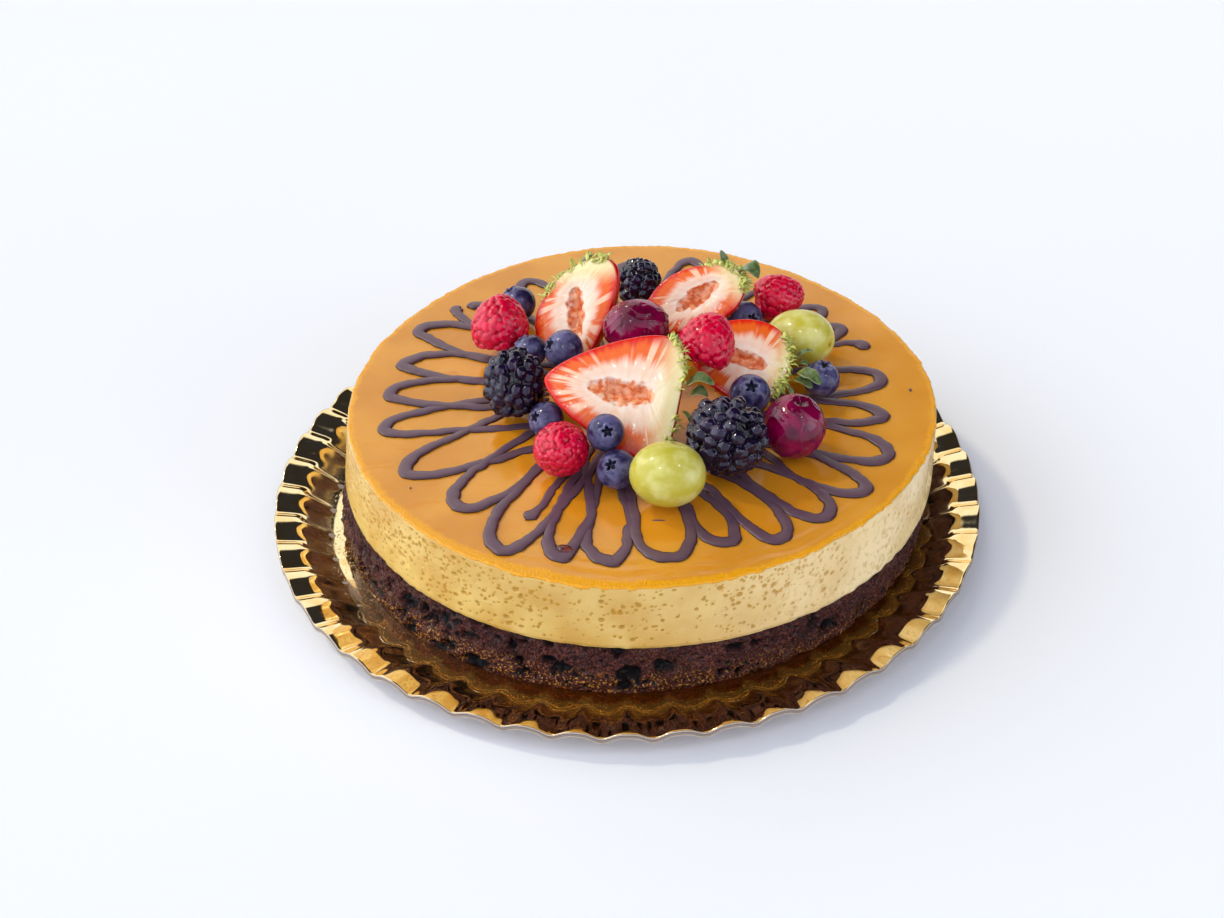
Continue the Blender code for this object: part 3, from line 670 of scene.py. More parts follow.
caramel_skin = skin(
    skin_points, (*CAKE, height[0].mean()), (*CAKE, TOP_HEIGHT - 1.25),
    puddle=stacked(parts, puddle, 0), edge=stacked(parts, ease(radius, crust - 0.8, crust + 0.8), 1),
    front=stacked(parts, near(skin_angle, 235, 60) * ease(radius, 70, 92), 0))

caramel = Finish("caramel", soft=(0.15, 0.003, (1.0, 0.4, 0.1)), Roughness=0.16, IOR=1.42,
                 Specular_IOR_Level=0.35, Coat_Weight=0.3, Coat_Roughness=0.05)
dabs = caramel.ramp(caramel.grain(4, 3.0, stretch=(0.6, 1.5, 1)), 0.58, 0.66, 0.0, 0.7)
caramel.paint(
    caramel.mottle(30, 0.3, 0.7, AMBER, AMBER_PALE),
    (AMBER_DEEP, "puddle", 0.0, 1.0, 0.0, 0.6), (AMBER_DEEP, caramel.times(dabs, "front")),
    (AMBER_RIM, "edge"), (AMBER_SPOT, caramel.cells(7.5), 0.05, 0.02, 0.0, 0.35))
caramel.put("Normal", caramel.relief(0.8, 0.5, caramel.times("edge", 0.9), 2.0, caramel.relief(6.0, 0.08, 0.4)))
piece("caramel_skin", [caramel_skin], caramel, "caramel", "caramel_top")

# ----------------------------
# The drizzle: chocolate sauce piped by hand in loops, out from the middle to near the rim and
# back, each crossing its neighbours. The stroke has settled flat, and is wider at the turn.
# ----------------------------
STROKE_WIDTH, STROKE_HEIGHT = 4.0, 0.8
STROKE_FOOT = TOP_HEIGHT - 0.12
LOOP_START = 38.0
DRIZZLE, DRIZZLE_PALE, DRIZZLE_EDGE_SHADE = (92, 64, 80), (100, 72, 80), (58, 26, 30)
# angle of the tip, its reach from the cake's axis, and the angles of both legs 80 mm and 60 mm out
LOOPS = (
    (6.5, 98.5, 0, 13, -2, 15), (29.5, 97, 25, 35, 26, 36), (39, 99.5, 34, 46, 33, 47),
    (52, 100, 46, 59, 44, 60), (65, 101, 59, 72, 58, 73), (77, 105.5, 71, 83, 70, 84),
    (92, 101, 84, 99, 83, 100), (106, 100, 99, 113, 98, 114), (119, 100, 112, 127, 111, 128),
    (151, 105.5, 141.5, 155.7, 138, 153), (165.5, 100, 156, 168.5, 154, 169.5),
    (177.5, 100.5, 169.5, 182.4, 168, 185), (191, 102.5, 183.6, 195.5, 180, 199.5),
    (208, 101.5, 199.5, 214, 192.5, 217.5), (225, 97, 216.5, 231, 211.5, 228.5),
    (241.5, 107.5, 232.5, 247, 229.5, 248), (254, 103.5, 247, 256, 244.5, 250),
    (264, 103, 256, 267, 254, 262.5), (276, 101, 268.2, 282.5, 266, 282),
    (289.3, 97.5, 283.5, 292.8, 283, 286), (299.5, 103.5, 294.7, 304.8, 291, 300.5),
    (311.3, 103.5, 306, 317.5, 306, 322), (323.5, 104.5, 317.5, 328.8, 313, 326),
    (337, 104, 330.5, 343.5, 329, 345), (351, 97, 346.5, 356, 342, 359),
)
# strokes that stop or begin short: the same, and the parts of the loop between which they run
BROKEN = (
    (21, 99, 18, 24.5, 17, 25, -0.35, 1.4), (137.5, 100, 129, 143, 128, 144, -1.4, -0.05),
    (139, 102, 134, 143, 133, 145, -0.12, 1.4), (241.0, 88.5, 241.6, 241.6, 240, 240.5, 0.0, 2.0),
)
# a dash and two specks: angle and radius, how far each runs on in both, and the width
SPECKS = ((272.9, 77.3, 3.4, 0.5, 0.9), (0.9, 106.2, 0.9, 0.3, 1.1), (213, 102, 0.4, 0.5, 0.6))
SPECK_HEIGHT = 0.35
# the drop of glaze: its radius, height and angle, the turn of its length, and half its sizes
DROP_AT, DROP_TURN, DROP_SIZE = (97.5, TOP_HEIGHT + 0.75, np.radians(253.6)), np.radians(254), (3.0, 1.9, 1.0)
WINE, WINE_PALE = (58, 14, 18), (128, 56, 44)


def ribbon(line, width, height, section=16):
    """A flat-backed stroke along a line. Its section is cos a by sin a, with the sine raised to a
    small power so that the back is level, and each edge wanders by a slow noise."""
    along = np.gradient(line, axis=0)
    along /= np.linalg.norm(along, axis=1, keepdims=True)
    side = xyz(-along[:, 1], along[:, 0], 0.0)
    bend = turn(section)
    out, lift = np.cos(bend), np.where(np.sin(bend) > 0, np.abs(np.sin(bend)) ** 0.45, 0.35 * np.sin(bend))
    width = np.reshape(width * np.ones(len(line)), (-1, 1, 1))
    left, right = (lumps(line + side * way * 3, 2.4, seed)[:, None] for way, seed in ((-1, 42), (1, 43)))
    ragged = np.where(out < 0, left, right)[..., None]
    reach = out[:, None] * (width / 2 + 0.32 * ragged * np.minimum(1, width / 3))
    rows = line[:, None] + side[:, None] * reach + np.array([0, 0, 1.0]) * lift[:, None] * height
    # border: the stroke's two sides, which the finish darkens as painted shade
    border = ease(np.abs(out), 0.72, 0.97)
    return skin(rows, rows[0].mean(0) - along[0] * 0.3, rows[-1].mean(0) + along[-1] * 0.3, border=border)


def loop_line(tip, reach, low, high, low_end, high_end, start=None, stop=None):
    """A loop as a parabola of radius by angle, reach - (reach - 80) u², rounder at the front where
    sin(u) stands in for u, with legs that swing on to their ends as (u - 1)²."""
    end = np.sqrt((reach - LOOP_START) / (reach - 80))
    u = np.linspace(-end if start is None else start, end if stop is None else stop, 110)
    turned = np.abs(u)
    run = reach - STROKE_WIDTH / 2 - (reach - 80) * turned**2
    leg = np.where(u < 0, low, high) - tip
    at_60 = np.sqrt((reach - 60) / (reach - 80))
    round_ = 0.9 * near(np.radians(tip), 290, 55)
    swing = (1 - round_) * turned + round_ * np.sin(np.pi / 2 * np.minimum(turned, 1))
    last = np.where(u < 0, low_end, high_end) - tip - leg * ((1 - round_) * at_60 + round_)
    angle = np.radians(tip + leg * swing + last * (np.maximum(turned - 1, 0) / (at_60 - 1)) ** 2)
    line = polar(run, STROKE_FOOT, angle, CAKE)
    for size, shift, seed in ((8, 0.7, 44), (3, 0.35, 46)):
        for axis in (0, 1):
            line[:, axis] += shift * lumps(line, size, seed + axis)
    slow = 1 + 0.42 * bell(turned, 0.55) - 0.2 * ease(np.sin(angle), 0.2, 1)
    return line, STROKE_WIDTH * slow * (1 + 0.16 * lumps(line, 5, 48))


draw = np.random.default_rng(41)
strokes = []
for loop in LOOPS + BROKEN:
    line, wide = loop_line(*loop)
    gone = np.concatenate([[0], np.cumsum(np.linalg.norm(np.diff(line, axis=0), axis=1))])
    left = np.minimum(gone, gone[-1] - gone)
    wide = wide * np.sqrt(np.clip(left / 2.4, 0.04, 1))
    if loop in BROKEN:
        wide = wide * (0.85 + 0.4 * bell(left - 2, 3))
    strokes.append(ribbon(line, wide, STROKE_HEIGHT * draw.uniform(0.85, 1.15)))
step = np.linspace(0, 1, 12)
blunt = np.sqrt(np.clip(1 - (2 * step - 1) ** 4, 0.05, 1))
for angle, radius, turned, run, wide in SPECKS:
    line = polar(radius + run * step, STROKE_FOOT, np.radians(angle + turned * step), CAKE)
    strokes.append(ribbon(line, wide * blunt, SPECK_HEIGHT))
drizzle = Finish("chocolate_drizzle", relief=(2.5, 0.1, 0.3), Roughness=0.42,
                 Coat_Weight=0.25, Coat_Roughness=0.25)
# painted shade: a dark border along both sides of each stroke
drizzle.paint(drizzle.mottle(6, 0.3, 0.7, DRIZZLE, DRIZZLE_PALE, 3.0), (DRIZZLE_EDGE_SHADE, "border"))
piece("drizzle_loops", strokes, drizzle, "caramel")

down, around = np.linspace(0.1, np.pi - 0.1, 18)[:, None], turn(36)
long, wide, tall = DROP_SIZE
drop = xyz(long * np.sin(down) * np.cos(around), wide * np.sin(down) * np.sin(around), tall * np.cos(down))
cos, sin = np.cos(DROP_TURN), np.sin(DROP_TURN)
drop = drop @ np.array([[-sin, cos, 0], [cos, sin, 0], [0, 0, 1.0]])
middle = polar(*DROP_AT, CAKE)
wine = Finish("glaze_drop", Roughness=0.04, IOR=1.5)
wine.paint(wine.mottle(2.0, 0.4, 0.6, WINE, WINE_PALE))
piece("glaze_drop", [skin(middle + drop, middle + [0, 0, tall], middle - [0, 0, tall])], wine, "caramel_syrup")

# ----------------------------
# The raspberries and brambles: each is a hollow or solid cone of small round drupelets, crowded
# together, under a clear fruit glaze.
# ----------------------------
# place of the middle on the cake's top, half length, half width, turn and tilt of the axis
RASPBERRIES = (
    ((-55.3, 31.0, 14.2), 12.8, 12.2, 80, 60),
    ((26.2, -5.3, 29.1), 12.0, 11.5, 60, 50),
    ((-29.3, -50.8, 12.9), 12.2, 10.8, -90, 30),
    ((56.9, 53.2, 11.5), 11.5, 10.0, 10, 5),
)
BRAMBLES = (
    ((-48.0, -11.5, 15.7), 14.5, 12.7, 90, 70),
    ((0.4, 64.3, 12.2), 11.0, 10.0, 90, 60),
    ((31.9, -50.3, 17.7), 17.2, 15.4, -50, 30),
)
# how many drupelets, how far they bulge, the taper, and how hollow the stem end is
RASPBERRY_FORM, BRAMBLE_COUNTS, BRAMBLE_FORM = (140, 0.075, 0.14, 0.35), (66, 60, 74), (0.22, 0.04, 0.1)
RED, RED_PALE, RED_GAP_SHADE, RED_DOWN = (194, 0, 42), (222, 0, 58), (172, 0, 34), (236, 60, 90)
BLACK, BLACK_VIOLET, BLACK_GAP_SHADE = (12, 5, 28), (30, 11, 46), (8, 2, 10)


def on_cake(place):
    """A place measured from the cake's axis and its top, as a point from the origin."""
    return np.array(place) + [*CAKE, TOP_HEIGHT]


def unit(way):
    return np.array(way, float) / np.linalg.norm(way)


def axes(turn_by, tilt):
    """Two directions square to an axis that points this way, and the axis itself."""
    a, b = np.radians([turn_by, tilt])
    axis = np.array([np.cos(a) * np.cos(b), np.sin(a) * np.cos(b), np.sin(b)])
    side = unit(np.cross(axis, [0, 0, 1] if abs(axis[2]) < 0.9 else [0, 1, 0]))
    return np.stack([side, np.cross(axis, side), axis])


def directions(rows, columns):
    """Directions all round a ball, from its stem end, -z, to its tip, without the two poles."""
    down = np.linspace(np.pi, 0, rows + 2)[1:-1, None]
    return polar(np.sin(down), np.cos(down), turn(columns))


def laid(berry, ways, scale, ends, taper=0.0, **marks):
    """The skin of a fruit, turned and put in its place on the cake.

    Along each direction from its middle it is an oval times this scale, narrower towards the tip
    by the taper, and it is closed at its ends, given as shares of half its length.
    """
    place, half_length, half_width, turn_by, tilt = berry
    wide = half_width * (1 - taper * (ways[..., 2] + 0.25))
    local = ways * xyz(wide, wide, half_length) * scale[..., None]
    frame_ = axes(turn_by, tilt)
    ends = [on_cake(place) + frame_[2] * half_length * share for share in ends]
    return skin(on_cake(place) + local @ frame_, *ends, **marks)


def lay_all(kind, bodies, finish):
    """One piece for each fruit of a kind."""
    for number, body in enumerate(bodies, 1):
        piece(f"{kind}_body_{number}", [body], finish, kind, f"{kind}_{number}")


def seeded_spots(count, draw, loose):
    """Directions spread evenly over a ball on a golden-angle spiral, each a little out of place."""
    k = np.arange(count) + 0.5
    z = 1 - 2 * k / count
    spots = polar(np.sqrt(1 - z * z), z, k * np.pi * (3 - np.sqrt(5)))
    spots += draw.normal(0, loose, spots.shape) * np.sqrt(4 * np.pi / count)
    return spots / np.linalg.norm(spots, axis=1, keepdims=True)


def cluster(berry, count, bulge, taper, hollow, seed):
    """A berry of drupelets: an oval raised to sqrt(1 - (d / r)²) around each drupelet's middle."""
    draw = np.random.default_rng(seed)
    ways = directions(110, 150)
    spots = seeded_spots(count, draw, 0.13)
    turns = np.arccos(np.clip(ways @ spots.T, -1, 1))
    size = np.sqrt(4 * np.pi / count) * 0.60 * draw.uniform(0.82, 1.16, count)
    dome = np.sqrt(np.clip(1 - (turns / size) ** 2, 0, None)) * draw.uniform(0.75, 1.1, count)
    best, own = dome.max(-1), dome.argmax(-1)
    scale = 1 - bulge + bulge * best + 0.15 * bulge * lumps(ways + seed, 0.12, seed)
    scale = scale * (1 - hollow * ease(-ways[..., 2], 0.72, 1.0))
    ends = -(1 - hollow) * 0.93, 0.98
    return laid(berry, ways, scale, ends, taper, dome=best, tint=draw.random(count)[own])


glazed = dict(Roughness=0.13, IOR=1.5)
raspberry = Finish("raspberry", soft=(0.2, 0.002, (1.0, 0.15, 0.15)), relief=(1.2, 0.35, 0.5, 1.0),
                   Specular_IOR_Level=0.45, **glazed)
raspberry.paint(
    # painted shade between the drupelets, where the dome mark is low
    raspberry.mix("tint", RED, RED_PALE), (RED_GAP_SHADE, "dome", 0.45, 0.0),
    (RED_DOWN, raspberry.grain(0.8, 3.0), 0.55, 0.75, 0.0, 0.15))
lay_all("raspberry", [
    cluster(fruit, *RASPBERRY_FORM, 51 + k)
    for k, fruit in enumerate(RASPBERRIES)], raspberry)

bramble = Finish("bramble", relief=(2.4, 0.5, 0.45, 1.0), Specular_IOR_Level=0.52, **glazed)
# painted shade, near black, between the drupelets where the dome mark is low
bramble.paint(bramble.mix("tint", BLACK, BLACK_VIOLET), (BLACK_GAP_SHADE, "dome", 0.5, 0.05))
lay_all("bramble", [
    cluster(fruit, BRAMBLE_COUNTS[k], *BRAMBLE_FORM, 61 + k)
    for k, fruit in enumerate(BRAMBLES)], bramble)

# ----------------------------
# The blueberries: taut dark skins with a grey bloom, each with the five-pointed crown around a
# dimple where the flower was.
# ----------------------------
BLUEBERRIES = (
    ((-49.4, 55.1, 8.8), 7.0, 7.4, 160, 60),
    ((-29.4, 10.6, 15.9), 7.2, 8.0, 200, 35),
    ((-43.0, 15.9, 11.7), 6.3, 7.0, 160, 50),
    ((-35.5, -26.1, 8.7), 6.4, 7.2, 215, 35),
    ((-12.7, -47.3, 18.0), 6.4, 7.0, -80, 38),
    ((-8.7, -58.2, 9.0), 6.8, 7.5, -120, 50),
    ((43.0, 41.1, 8.9), 6.8, 7.4, -60, 30),
    ((42.0, -19.6, 14.6), 7.2, 7.9, -85, 60),
    ((70.6, -1.8, 8.9), 6.8, 7.4, 0, 80),
)
BLUE, BLOOM, BLOOM_RIM, DIMPLE = (38, 30, 66), (96, 92, 130), (116, 114, 148), (16, 10, 26)


def crowned_ball(berry, seed):
    """A ball, a little flat, with a dimple at its tip and a rim of five points around it.

    The rim is a bump between 14 and 22 degrees from the tip that rises with (1 + cos 5a) / 2,
    and inside it the skin drops by a share that eases in towards the tip.
    """
    draw = np.random.default_rng(seed)
    ways = directions(84, 110)
    apart = np.degrees(np.arccos(ways[..., 2]))
    around = np.arctan2(ways[..., 1], ways[..., 0])
    points = 0.5 + 0.5 * np.cos(5 * around + draw.uniform(0, 6.28) + 0.4 * np.sin(around))
    rim_at = 14 + 8 * points
    rise = bell(apart - rim_at, 3.6) * (0.03 + 0.08 * points)
    drop = 0.22 * (1 - ease(apart, rim_at - 12, rim_at - 1))
    dents = 0.02 * lumps(ways + seed, 0.8, seed)
    crown = 1 - ease(apart, rim_at - 7, rim_at)
    border = bell(apart - rim_at - 3, 7)
    ends = -(1 + dents[0].mean()), 0.80
    return laid(berry, ways, 1 + rise - drop + dents, ends, crown=crown, border=border)


blueberry = Finish("blueberry", relief=(3.6, 0.35, 0.5, 1.0), Specular_IOR_Level=0.35, **glazed)
blueberry.paint(
    blueberry.mottle(5, 0.35, 0.66, BLUE, BLOOM, 4.0),
    (BLOOM_RIM, "border", 0.2, 1.0, 0.0, 0.6), (DIMPLE, "crown", 0.2, 0.9, 0.0, 0.85))
lay_all("blueberry", [crowned_ball(fruit, 71 + k) for k, fruit in enumerate(BLUEBERRIES)], blueberry)

# ----------------------------
# The grapes: pale green and half clear, glazed, with the small brown scar of the stem.
# ----------------------------
GRAPES = (
    ((9.9, -68.3, 14.2), 14.0, 12.2, 180, 4),
    ((64.0, 21.0, 13.1), 14.0, 11.2, -25, 10),
)
GRAPE_SCARS = (0.35, -0.8, -0.1), (0.2, 0.1, 1.0)
GRAPE, GRAPE_PALE, GRAPE_FLECK, SCAR = (192, 180, 62), (214, 206, 122), (150, 120, 50), (136, 88, 40)


def smooth_fruit(berry, spot, dent, seed, rows=96, columns=120, waves=0.0):
    """An oval fruit with slow lumps, ridges of glaze by (1 - |sin|)³, and a dent at one spot."""
    ways = directions(rows, columns)
    apart = np.degrees(np.arccos(np.clip(ways @ unit(spot), -1, 1)))
    scale = 1 + 0.012 * lumps(ways + seed, 0.7, seed) - dent * bell(apart, 13)
    run = 7 * (ways[..., 0] + 0.8 * ways[..., 1]) + 3.5 * lumps(ways + seed, 0.6, seed + 1)
    scale = scale + waves * (1 - np.abs(np.sin(run))) ** 3
    return laid(berry, ways, scale, (-scale[0].mean(), scale[-1].mean()), scar=bell(apart, 5))


grape = Finish("grape", soft=(0.5, 0.006, (0.9, 1.0, 0.35)), relief=(5, 0.3, 0.35, 1.0),
               Specular_IOR_Level=0.45, **glazed)
grape.paint(
    grape.mottle(7, 0.4, 0.7, GRAPE, GRAPE_PALE),
    (GRAPE_FLECK, grape.cells(2.6), 0.1, 0.03, 0.0, 0.25), (SCAR, "scar"))
lay_all("grape", [smooth_fruit(GRAPES[k], GRAPE_SCARS[k], 0.04, 81 + k) for k in (0, 1)], grape)

# ----------------------------
# The cherries: dark and pitted, with a dent where the stem was. The glaze has run down them in
# ridges, which catch the light as long streaks.
# ----------------------------
CHERRIES = (
    ((-0.7, 16.1, 22.3), 13.4, 11.0, 0, 0),
    ((57.6, -39.6, 13.8), 12.5, 11.6, 0, 80),
)
CHERRY, CHERRY_PALE, CHERRY_DENT = (84, 0, 36), (140, 0, 64), (50, 4, 20)

cherry = Finish("cherry", soft=(0.1, 0.003, (1.0, 0.15, 0.2)), Specular_IOR_Level=0.45, **glazed)
cherry.paint(cherry.mottle(8, 0.3, 0.7, CHERRY, CHERRY_PALE), (CHERRY_DENT, "scar"))
runs = cherry.ramp(cherry.grain(3.0, 1.0, stretch=(1, 1, 0.22)), 0.38, 0.62)
cherry.put("Normal", cherry.bump(runs, 0.2, 0.6, cherry.relief(4.5, 0.6, 0.25, 1.0)))
lay_all("cherry", [
    smooth_fruit(CHERRIES[k], (0, 0, 1.0), 0.16, 91 + k, 150, 180, 0.022) for k in (0, 1)], cherry)

# ----------------------------
# The strawberries: halves that show the cut face, with a pale ring of fibres around a small
# hollow core, rays out to the red flesh, and a thin red skin set with seeds behind.
# ----------------------------
# middle of the cut face, (length, width, depth), facing (turn, tilt), roll, (widest, blunt, lean)
STRAWBERRIES = (
    ((-10.5, -29.9, 24.8), (52.0, 48.0, 18.0), (-96, 47), 173, (0.43, 0.62, 0.0)),
    ((-24.8, 28.0, 19.9), (41.5, 37.0, 16.0), (-120, 42), -66, (0.66, 0.70, -0.43)),
    ((20.7, 37.8, 20.1), (45.5, 27.5, 13.5), (-107, 48), -136, (0.83, 0.67, -0.36)),
    ((38.2, 0.9, 18.3), (40.5, 35.5, 14.0), (-87, 58), 158, (0.69, 0.59, 0.0)),
)
# where the core starts and ends along each half, from stem to tip, and its half width
CORES = ((0.20, 0.66, 4.2), (0.22, 0.70, 3.0), (0.22, 0.62, 3.2), (0.22, 0.66, 3.0))
HALF_COLUMNS, BACK_ROWS, BACK_END = 220, 34, 86
RAYS_AROUND = 9
MIDDLE = -0.04  # where the back closes, as a share of the length
FLESH, FLESH_ORANGE, FLESH_RED, FLESH_PALE = (250, 212, 184), (238, 104, 34), (222, 30, 14), (252, 224, 200)
RAY, CORE, CORE_PALE, STEM_END = (252, 206, 170), (218, 102, 44), (246, 172, 126), (240, 236, 176)
SKIN_RED, SKIN_ORANGE = (186, 6, 8), (214, 26, 14)
SEED_SIZE = (0.42, 0.42, 0.75)
SEED_ROWS = range(2, 30, 4)
SEED_GOLD, SEED_BROWN = (214, 160, 60), (170, 96, 30)


def cut_face(facing, roll):
    """The directions across a cut face, from its stem to its tip, and out of it."""
    normal = axes(*facing)[2]
    level = unit(np.cross([0, 0, 1], normal))
    along = level * np.cos(np.radians(roll)) + np.cross(normal, level) * np.sin(np.radians(roll))
    return np.stack([np.cross(normal, along), along, normal])


def half_outline(around, size, shape):
    """The cut face's outline, from the stem along one side to the tip and back along the other."""
    (length, width, _), (widest, blunt, lean) = size, shape
    run = np.clip((1 - np.cos(around)) / 2, 1e-4, 1 - 1e-4)
    half = width / 2 * np.sin(np.pi * run**widest) ** blunt
    side = np.where(around < np.pi, 1, -1)
    return side * half, (run - 0.5) * length + lean * side * half


def half_berry(number):
    """Rows from the core's middle out over the face to its edge, then over the rounded back.

    On the face a point is the core's oval and the outline blended by the row. On the back the
    outline shrinks to its middle by cos and sinks behind the face by the depth times sin.
    """
    place, size, facing, roll, shape = STRAWBERRIES[number]
    core_from, core_to, core_half = CORES[number]
    length, width, depth = size
    around = turn(HALF_COLUMNS)
    edge_x, edge_y = half_outline(around, size, shape)
    core_y = ((core_from + core_to) / 2 - 0.5 - (core_to - core_from) / 2 * np.cos(around)) * length
    ring = column(np.linspace(0.02, 0.2, 10), np.linspace(0.22, 0.94, 34), 0.96, 0.975, 0.99)
    out = ease(ring, 0.18, 1.0) * 0.25 + 0.75 * np.clip((ring - 0.18) / 0.82, 0, 1)
    inside = np.clip(ring / 0.2, 0, 1)
    ragged = 1 + 0.22 * lumps(polar(1, 0, around) + number * 3, 0.35, 100 + number)
    x = core_half * np.sin(around) * inside * ragged * (1 - out) + edge_x * out
    y = core_y * inside * (1 - out) + core_y.mean() * (1 - inside) * (1 - out) + edge_y * out
    flat = xyz(x, y, 0)
    torn = 0.05 * lumps(flat + number, 2.2, 112 + number)
    sink = -2.6 * (1 - ease(ring + torn, 0.10, 0.25)) * (1 + 0.6 * lumps(flat + number, 2.6, 110 + number))
    rays = 0.10 * lumps(polar(RAYS_AROUND, ring * 3, around), 1, 111)
    crown_up = 0.7 * np.sin(np.pi * np.clip(ring, 0.25, 1)) * ease(ring, 0.2, 0.5)
    face = xyz(x, y, sink + rays + crown_up - 0.6 * ease(ring, 0.93, 1.0) ** 2 - 0.15)
    behind = np.radians(column(3, 7, np.linspace(12, BACK_END, BACK_ROWS)))
    cos, middle_y = np.cos(behind), MIDDLE * length
    swell = 1 + 0.018 * lumps(xyz(edge_x * cos, edge_y * cos, behind * 10), 6, 120 + number)
    back_y = middle_y + (edge_y - middle_y) * cos * swell
    back = xyz(edge_x * cos * swell, back_y, -0.7 - (depth - 0.7) * np.sin(behind) * swell)
    frame_ = cut_face(facing, roll)
    rows, start, end = (
        on_cake(place) + local @ frame_ for local in (
            np.concatenate([face, back]), np.array([0, core_y.mean(), -2.8]), np.array([0, middle_y, -depth])))
    ring = np.concatenate([ring + 0 * x, 1 + behind / np.radians(BACK_END) + 0 * edge_x])
    stemward = 0.5 - np.concatenate([y, back_y]) / length
    return rows, start, end, dict(ring=ring, ray=polar(RAYS_AROUND, ring, around), stemward=stemward), frame_


def seeds_behind(rows, middle, along):
    """Small seeds set in staggered rows in the skin of the back, each along the half."""
    made = []
    ways = directions(5, 6) * SEED_SIZE
    for row in SEED_ROWS:
        count = int(26 * np.cos(np.radians(12 + 74 * row / (BACK_ROWS - 1)))) + 4
        for k in range(count):
            across = int((k + 0.5 * (row // 4 % 2)) / count * HALF_COLUMNS) % HALF_COLUMNS
            spot = rows[row, across]
            one = rows[row, (across + 1) % HALF_COLUMNS] - rows[row, across - 1]
            out = np.cross(one, rows[row + 1, across] - rows[row - 1, across])
            out /= np.linalg.norm(out) + 1e-9
            out = out if out @ (spot - middle) > 0 else -out
            down = along - out * (out @ along)
            down /= np.linalg.norm(down) + 1e-9
            turned = np.stack([np.cross(down, out), out, down])
            ends = (spot + down * SEED_SIZE[2] * way for way in (-1, 1))
            made.append(skin(spot - out * 0.05 + ways @ turned, *ends))
    return made


berry = Finish("strawberry", soft=(0.12, 0.002, (1.0, 0.4, 0.3)), Specular_IOR_Level=0.4, **glazed)
ray = berry.read("ray", "Vector")
fibres = berry.grain(1.9, 1.0, vector=ray, stretch=(1, 1, 0.5))
fine_fibres = berry.grain(0.6, 2.0, vector=ray, stretch=(1, 1, 1.2))
wander = berry.plus("ring", berry.ramp(fibres, 0.35, 0.65, -0.045, 0.045))
wander = berry.plus(wander, berry.ramp(fine_fibres, 0.3, 0.7, -0.03, 0.03))
core_edge = berry.plus("ring", berry.ramp(berry.grain(2.8, 1.0), 0.3, 0.7, -0.05, 0.05))
flesh = berry.mix(wander, FLESH, FLESH_ORANGE, 0.46, 0.66)
berry.paint(
    berry.mix(wander, flesh, FLESH_RED, 0.74, 0.93),
    (RAY, berry.times(berry.ramp(fibres, 0.53, 0.6), berry.ramp("ring", 0.97, 0.72, 0.0, 0.9))),
    (FLESH_PALE, wander, 0.42, 0.26),
    (berry.mottle(2.6, 0.35, 0.65, CORE, CORE_PALE, 3.0), core_edge, 0.26, 0.18),
    (STEM_END, berry.times(berry.ramp("stemward", 0.74, 0.97, 0.0, 0.85), berry.ramp("ring", 1.0, 0.93))),
    (berry.mottle(6, 0.3, 0.7, SKIN_RED, SKIN_ORANGE), "ring", 0.955, 0.99))
berry.put("Normal", berry.bump(fibres, 0.3, 0.4, berry.relief(2.4, 0.4, 0.6, 1.5)))

seeds = []
for number in range(4):
    rows, start, end, marks, frame_ = half_berry(number)
    body = skin(rows, start, end, **marks)
    piece(f"strawberry_half_{number + 1}", [body], berry, "strawberry", f"strawberry_{number + 1}")
    seeds += seeds_behind(rows[-BACK_ROWS:], on_cake(STRAWBERRIES[number][0]), frame_[1])
pip = Finish("strawberry_seed", **glazed)
pip.paint(pip.mix(pip.grain(1.5, 1.0), SEED_GOLD, SEED_BROWN))
piece("strawberry_seeds", seeds, pip, "strawberry")

# ----------------------------
# The crowns: the leafy caps left on the strawberries. Each leaf is a thin round-ended blade, cupped
# along its midrib and curled, and a downy collar of small pale sepals stands along the cut.
# ----------------------------
# the leaves of each crown, from its hub, in mm sideways, outward and off the cut: base, tip, width,
# bow, curl
CROWNS = (
    (((-7.0, 0.0, -1.0), (-9.7, 9.7, 3.0), 7.0, 2.2, 2.0), ((-4.0, 2.0, -1.0), (-4.8, 8.6, 0.5), 6.5, 1.2, 1.0),
     ((2.5, 0.5, -1.0), (6.5, 4.2, 0.5), 2.0, 0.8, 0.5)),
    (((-4.0, -3.0, 0.0), (-8.0, -5.5, -1.5), 2.4, 0.8, 0.5), ((2.5, 0.0, 0.0), (8.0, 3.2, 1.5), 2.4, 0.8, 0.5)),
    (((-5.2, -4.8, -1.0), (-10.4, -1.9, 3.3), 3.6, 0.6, 0.2), ((-0.5, 0.0, -1.0), (6.5, 4.5, 1.5), 9.0, 2.2, 1.5),
     ((-7.8, -9.0, -2.0), (-8.6, -16.5, -3.0), 2.6, 0.8, 0.3)),
    (((-8.0, 0.5, 0.0), (-12.5, 5.0, 2.5), 2.8, 0.8, 0.6), ((-6.0, 1.5, -1.0), (-6.5, 6.8, 0.0), 3.0, 1.2, 1.5),
     ((-1.0, 2.5, 2.5), (1.2, 12.5, 6.0), 7.0, 1.5, 1.0), ((0.5, 2.0, 0.0), (3.5, 9.5, 4.0), 5.0, 1.0, 0.8),
     ((4.0, 1.0, 0.0), (7.5, 3.5, -1.0), 2.0, 0.5, 0.5)),
)
SEPALS, SEPAL_LENGTHS, SEPAL_WIDTHS = 190, (1.6, 4.4), (0.4, 1.5)
LEAF, LEAF_GREY, LEAF_FOOT, LEAF_EDGE = (58, 84, 26), (112, 130, 76), (176, 184, 70), (176, 186, 130)
SEPAL_PALE, SEPAL_GREEN = (222, 220, 112), (150, 164, 62)


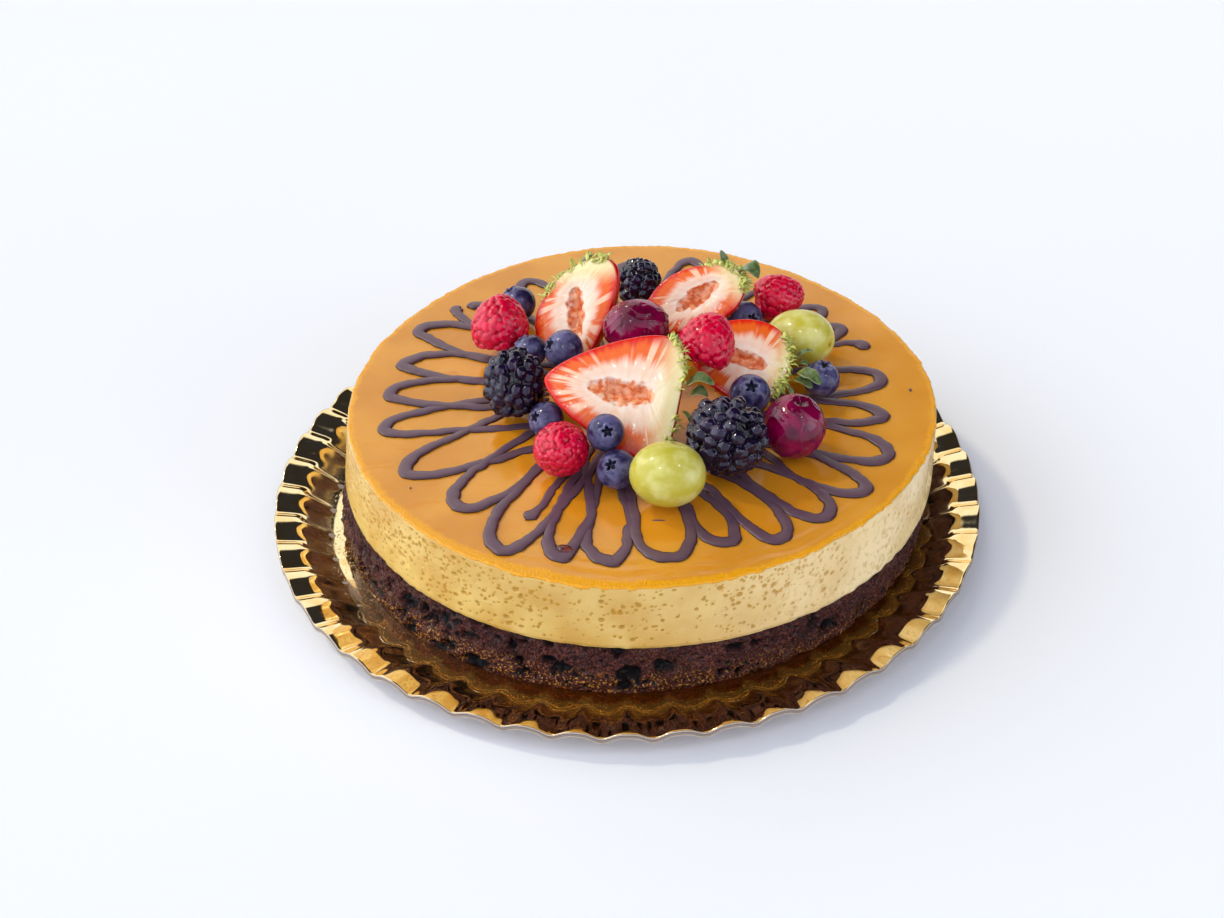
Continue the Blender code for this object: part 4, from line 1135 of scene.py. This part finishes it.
def leaf(base, tip, width, bow, curl, seed, rows=24, halves=9, young=0.0):
    """A blade from base to tip: its width is the root of sin(s), bowed up and cupped across."""
    along = unit(tip - base)
    side = unit(np.cross(along, [0, 0, 1]))
    up = np.cross(side, along)
    s = np.linspace(0.03, 0.985, rows)[:, None]
    middle = base + (tip - base) * s + up * bow * np.sin(np.pi * s)
    middle = middle - up * curl * ease(s, 0.7, 1.0) + side * 0.07 * width * np.sin(5 * s + seed)
    half = width / 2 * (np.sin(np.pi * s**0.9) ** 0.5) * (1 + 0.02 * np.sin(s * 30 + seed))
    across = np.concatenate([np.linspace(-1, 1, halves), np.linspace(1, -1, halves)])
    upper = np.repeat([1, -1], halves)
    fold = 0.26 * half * np.abs(across) ** 1.6 + 0.03 * width * np.sin(s * 14 + seed) * across**2
    thick = min(0.22, 0.1 * width) * upper * (1 - 0.8 * np.abs(across) ** 6)
    points = middle[:, None] + side * (half * across)[..., None] + up * (fold + thick)[..., None]
    vein = np.abs(np.sin((s * 9 + np.abs(across) * 1.2) * np.pi))
    end = middle[-1] + along * 0.2
    return skin(points, base, end, rib=np.abs(across), vein=vein, run=s, young=young)


green = Finish("strawberry_leaf", soft=(0.15, 0.001), Roughness=0.45, Specular_IOR_Level=0.4,
               Coat_Weight=0.4, Coat_Roughness=0.08)
green.paint(
    green.mottle(2.5, 0.3, 0.7, LEAF, LEAF_GREY, 3.0),
    (LEAF_FOOT, "run", 0.3, 0.0, 0.0, 0.8), (LEAF_EDGE, "rib", 0.7, 1.0, 0.0, 0.5),
    (green.mix("run", SEPAL_PALE, SEPAL_GREEN, 0.35, 1.0), "young"))
green.put("Normal", green.bump("vein", 0.2, 0.5, green.relief(0.7, 0.2, 0.6)))
draw = np.random.default_rng(131)
for number, leaves in enumerate(CROWNS):
    place, size, facing, roll, shape = STRAWBERRIES[number]
    face = cut_face(facing, roll)
    sideways, along, normal = face
    hub = on_cake(place) - along * (size[0] / 2 + 1.0) - normal * 3.0
    outward = face * [[1], [-1], [1]]
    blades = [leaf(hub + base @ outward, hub + tip @ outward, *rest, number * 3 + k)
              for k, (base, tip, *rest) in enumerate(leaves)]
    for k in range(SEPALS):
        at = draw.uniform(-1, 1) * 0.7
        x, y = half_outline(np.array(abs(at) if at > 0 else 2 * np.pi - abs(at)), size, shape)
        spot = np.array([x * 0.97, y + draw.uniform(0, 3.2), draw.uniform(-3.0, 0.5)])
        base = on_cake(place) + spot @ face
        lean = draw.uniform(-1.3, 1.3) + 0.8 * at
        out = unit(-along * np.cos(lean) + sideways * np.sin(lean) + normal * draw.uniform(-0.3, 0.5))
        tip = base + out * draw.uniform(*SEPAL_LENGTHS)
        blades.append(leaf(base, tip, draw.uniform(*SEPAL_WIDTHS), 0.4, 0.5, k, 8, 3, young=1.0))
    piece(f"crown_leaves_{number + 1}", blades, green, "strawberry_leaf", f"crown_{number + 1}")
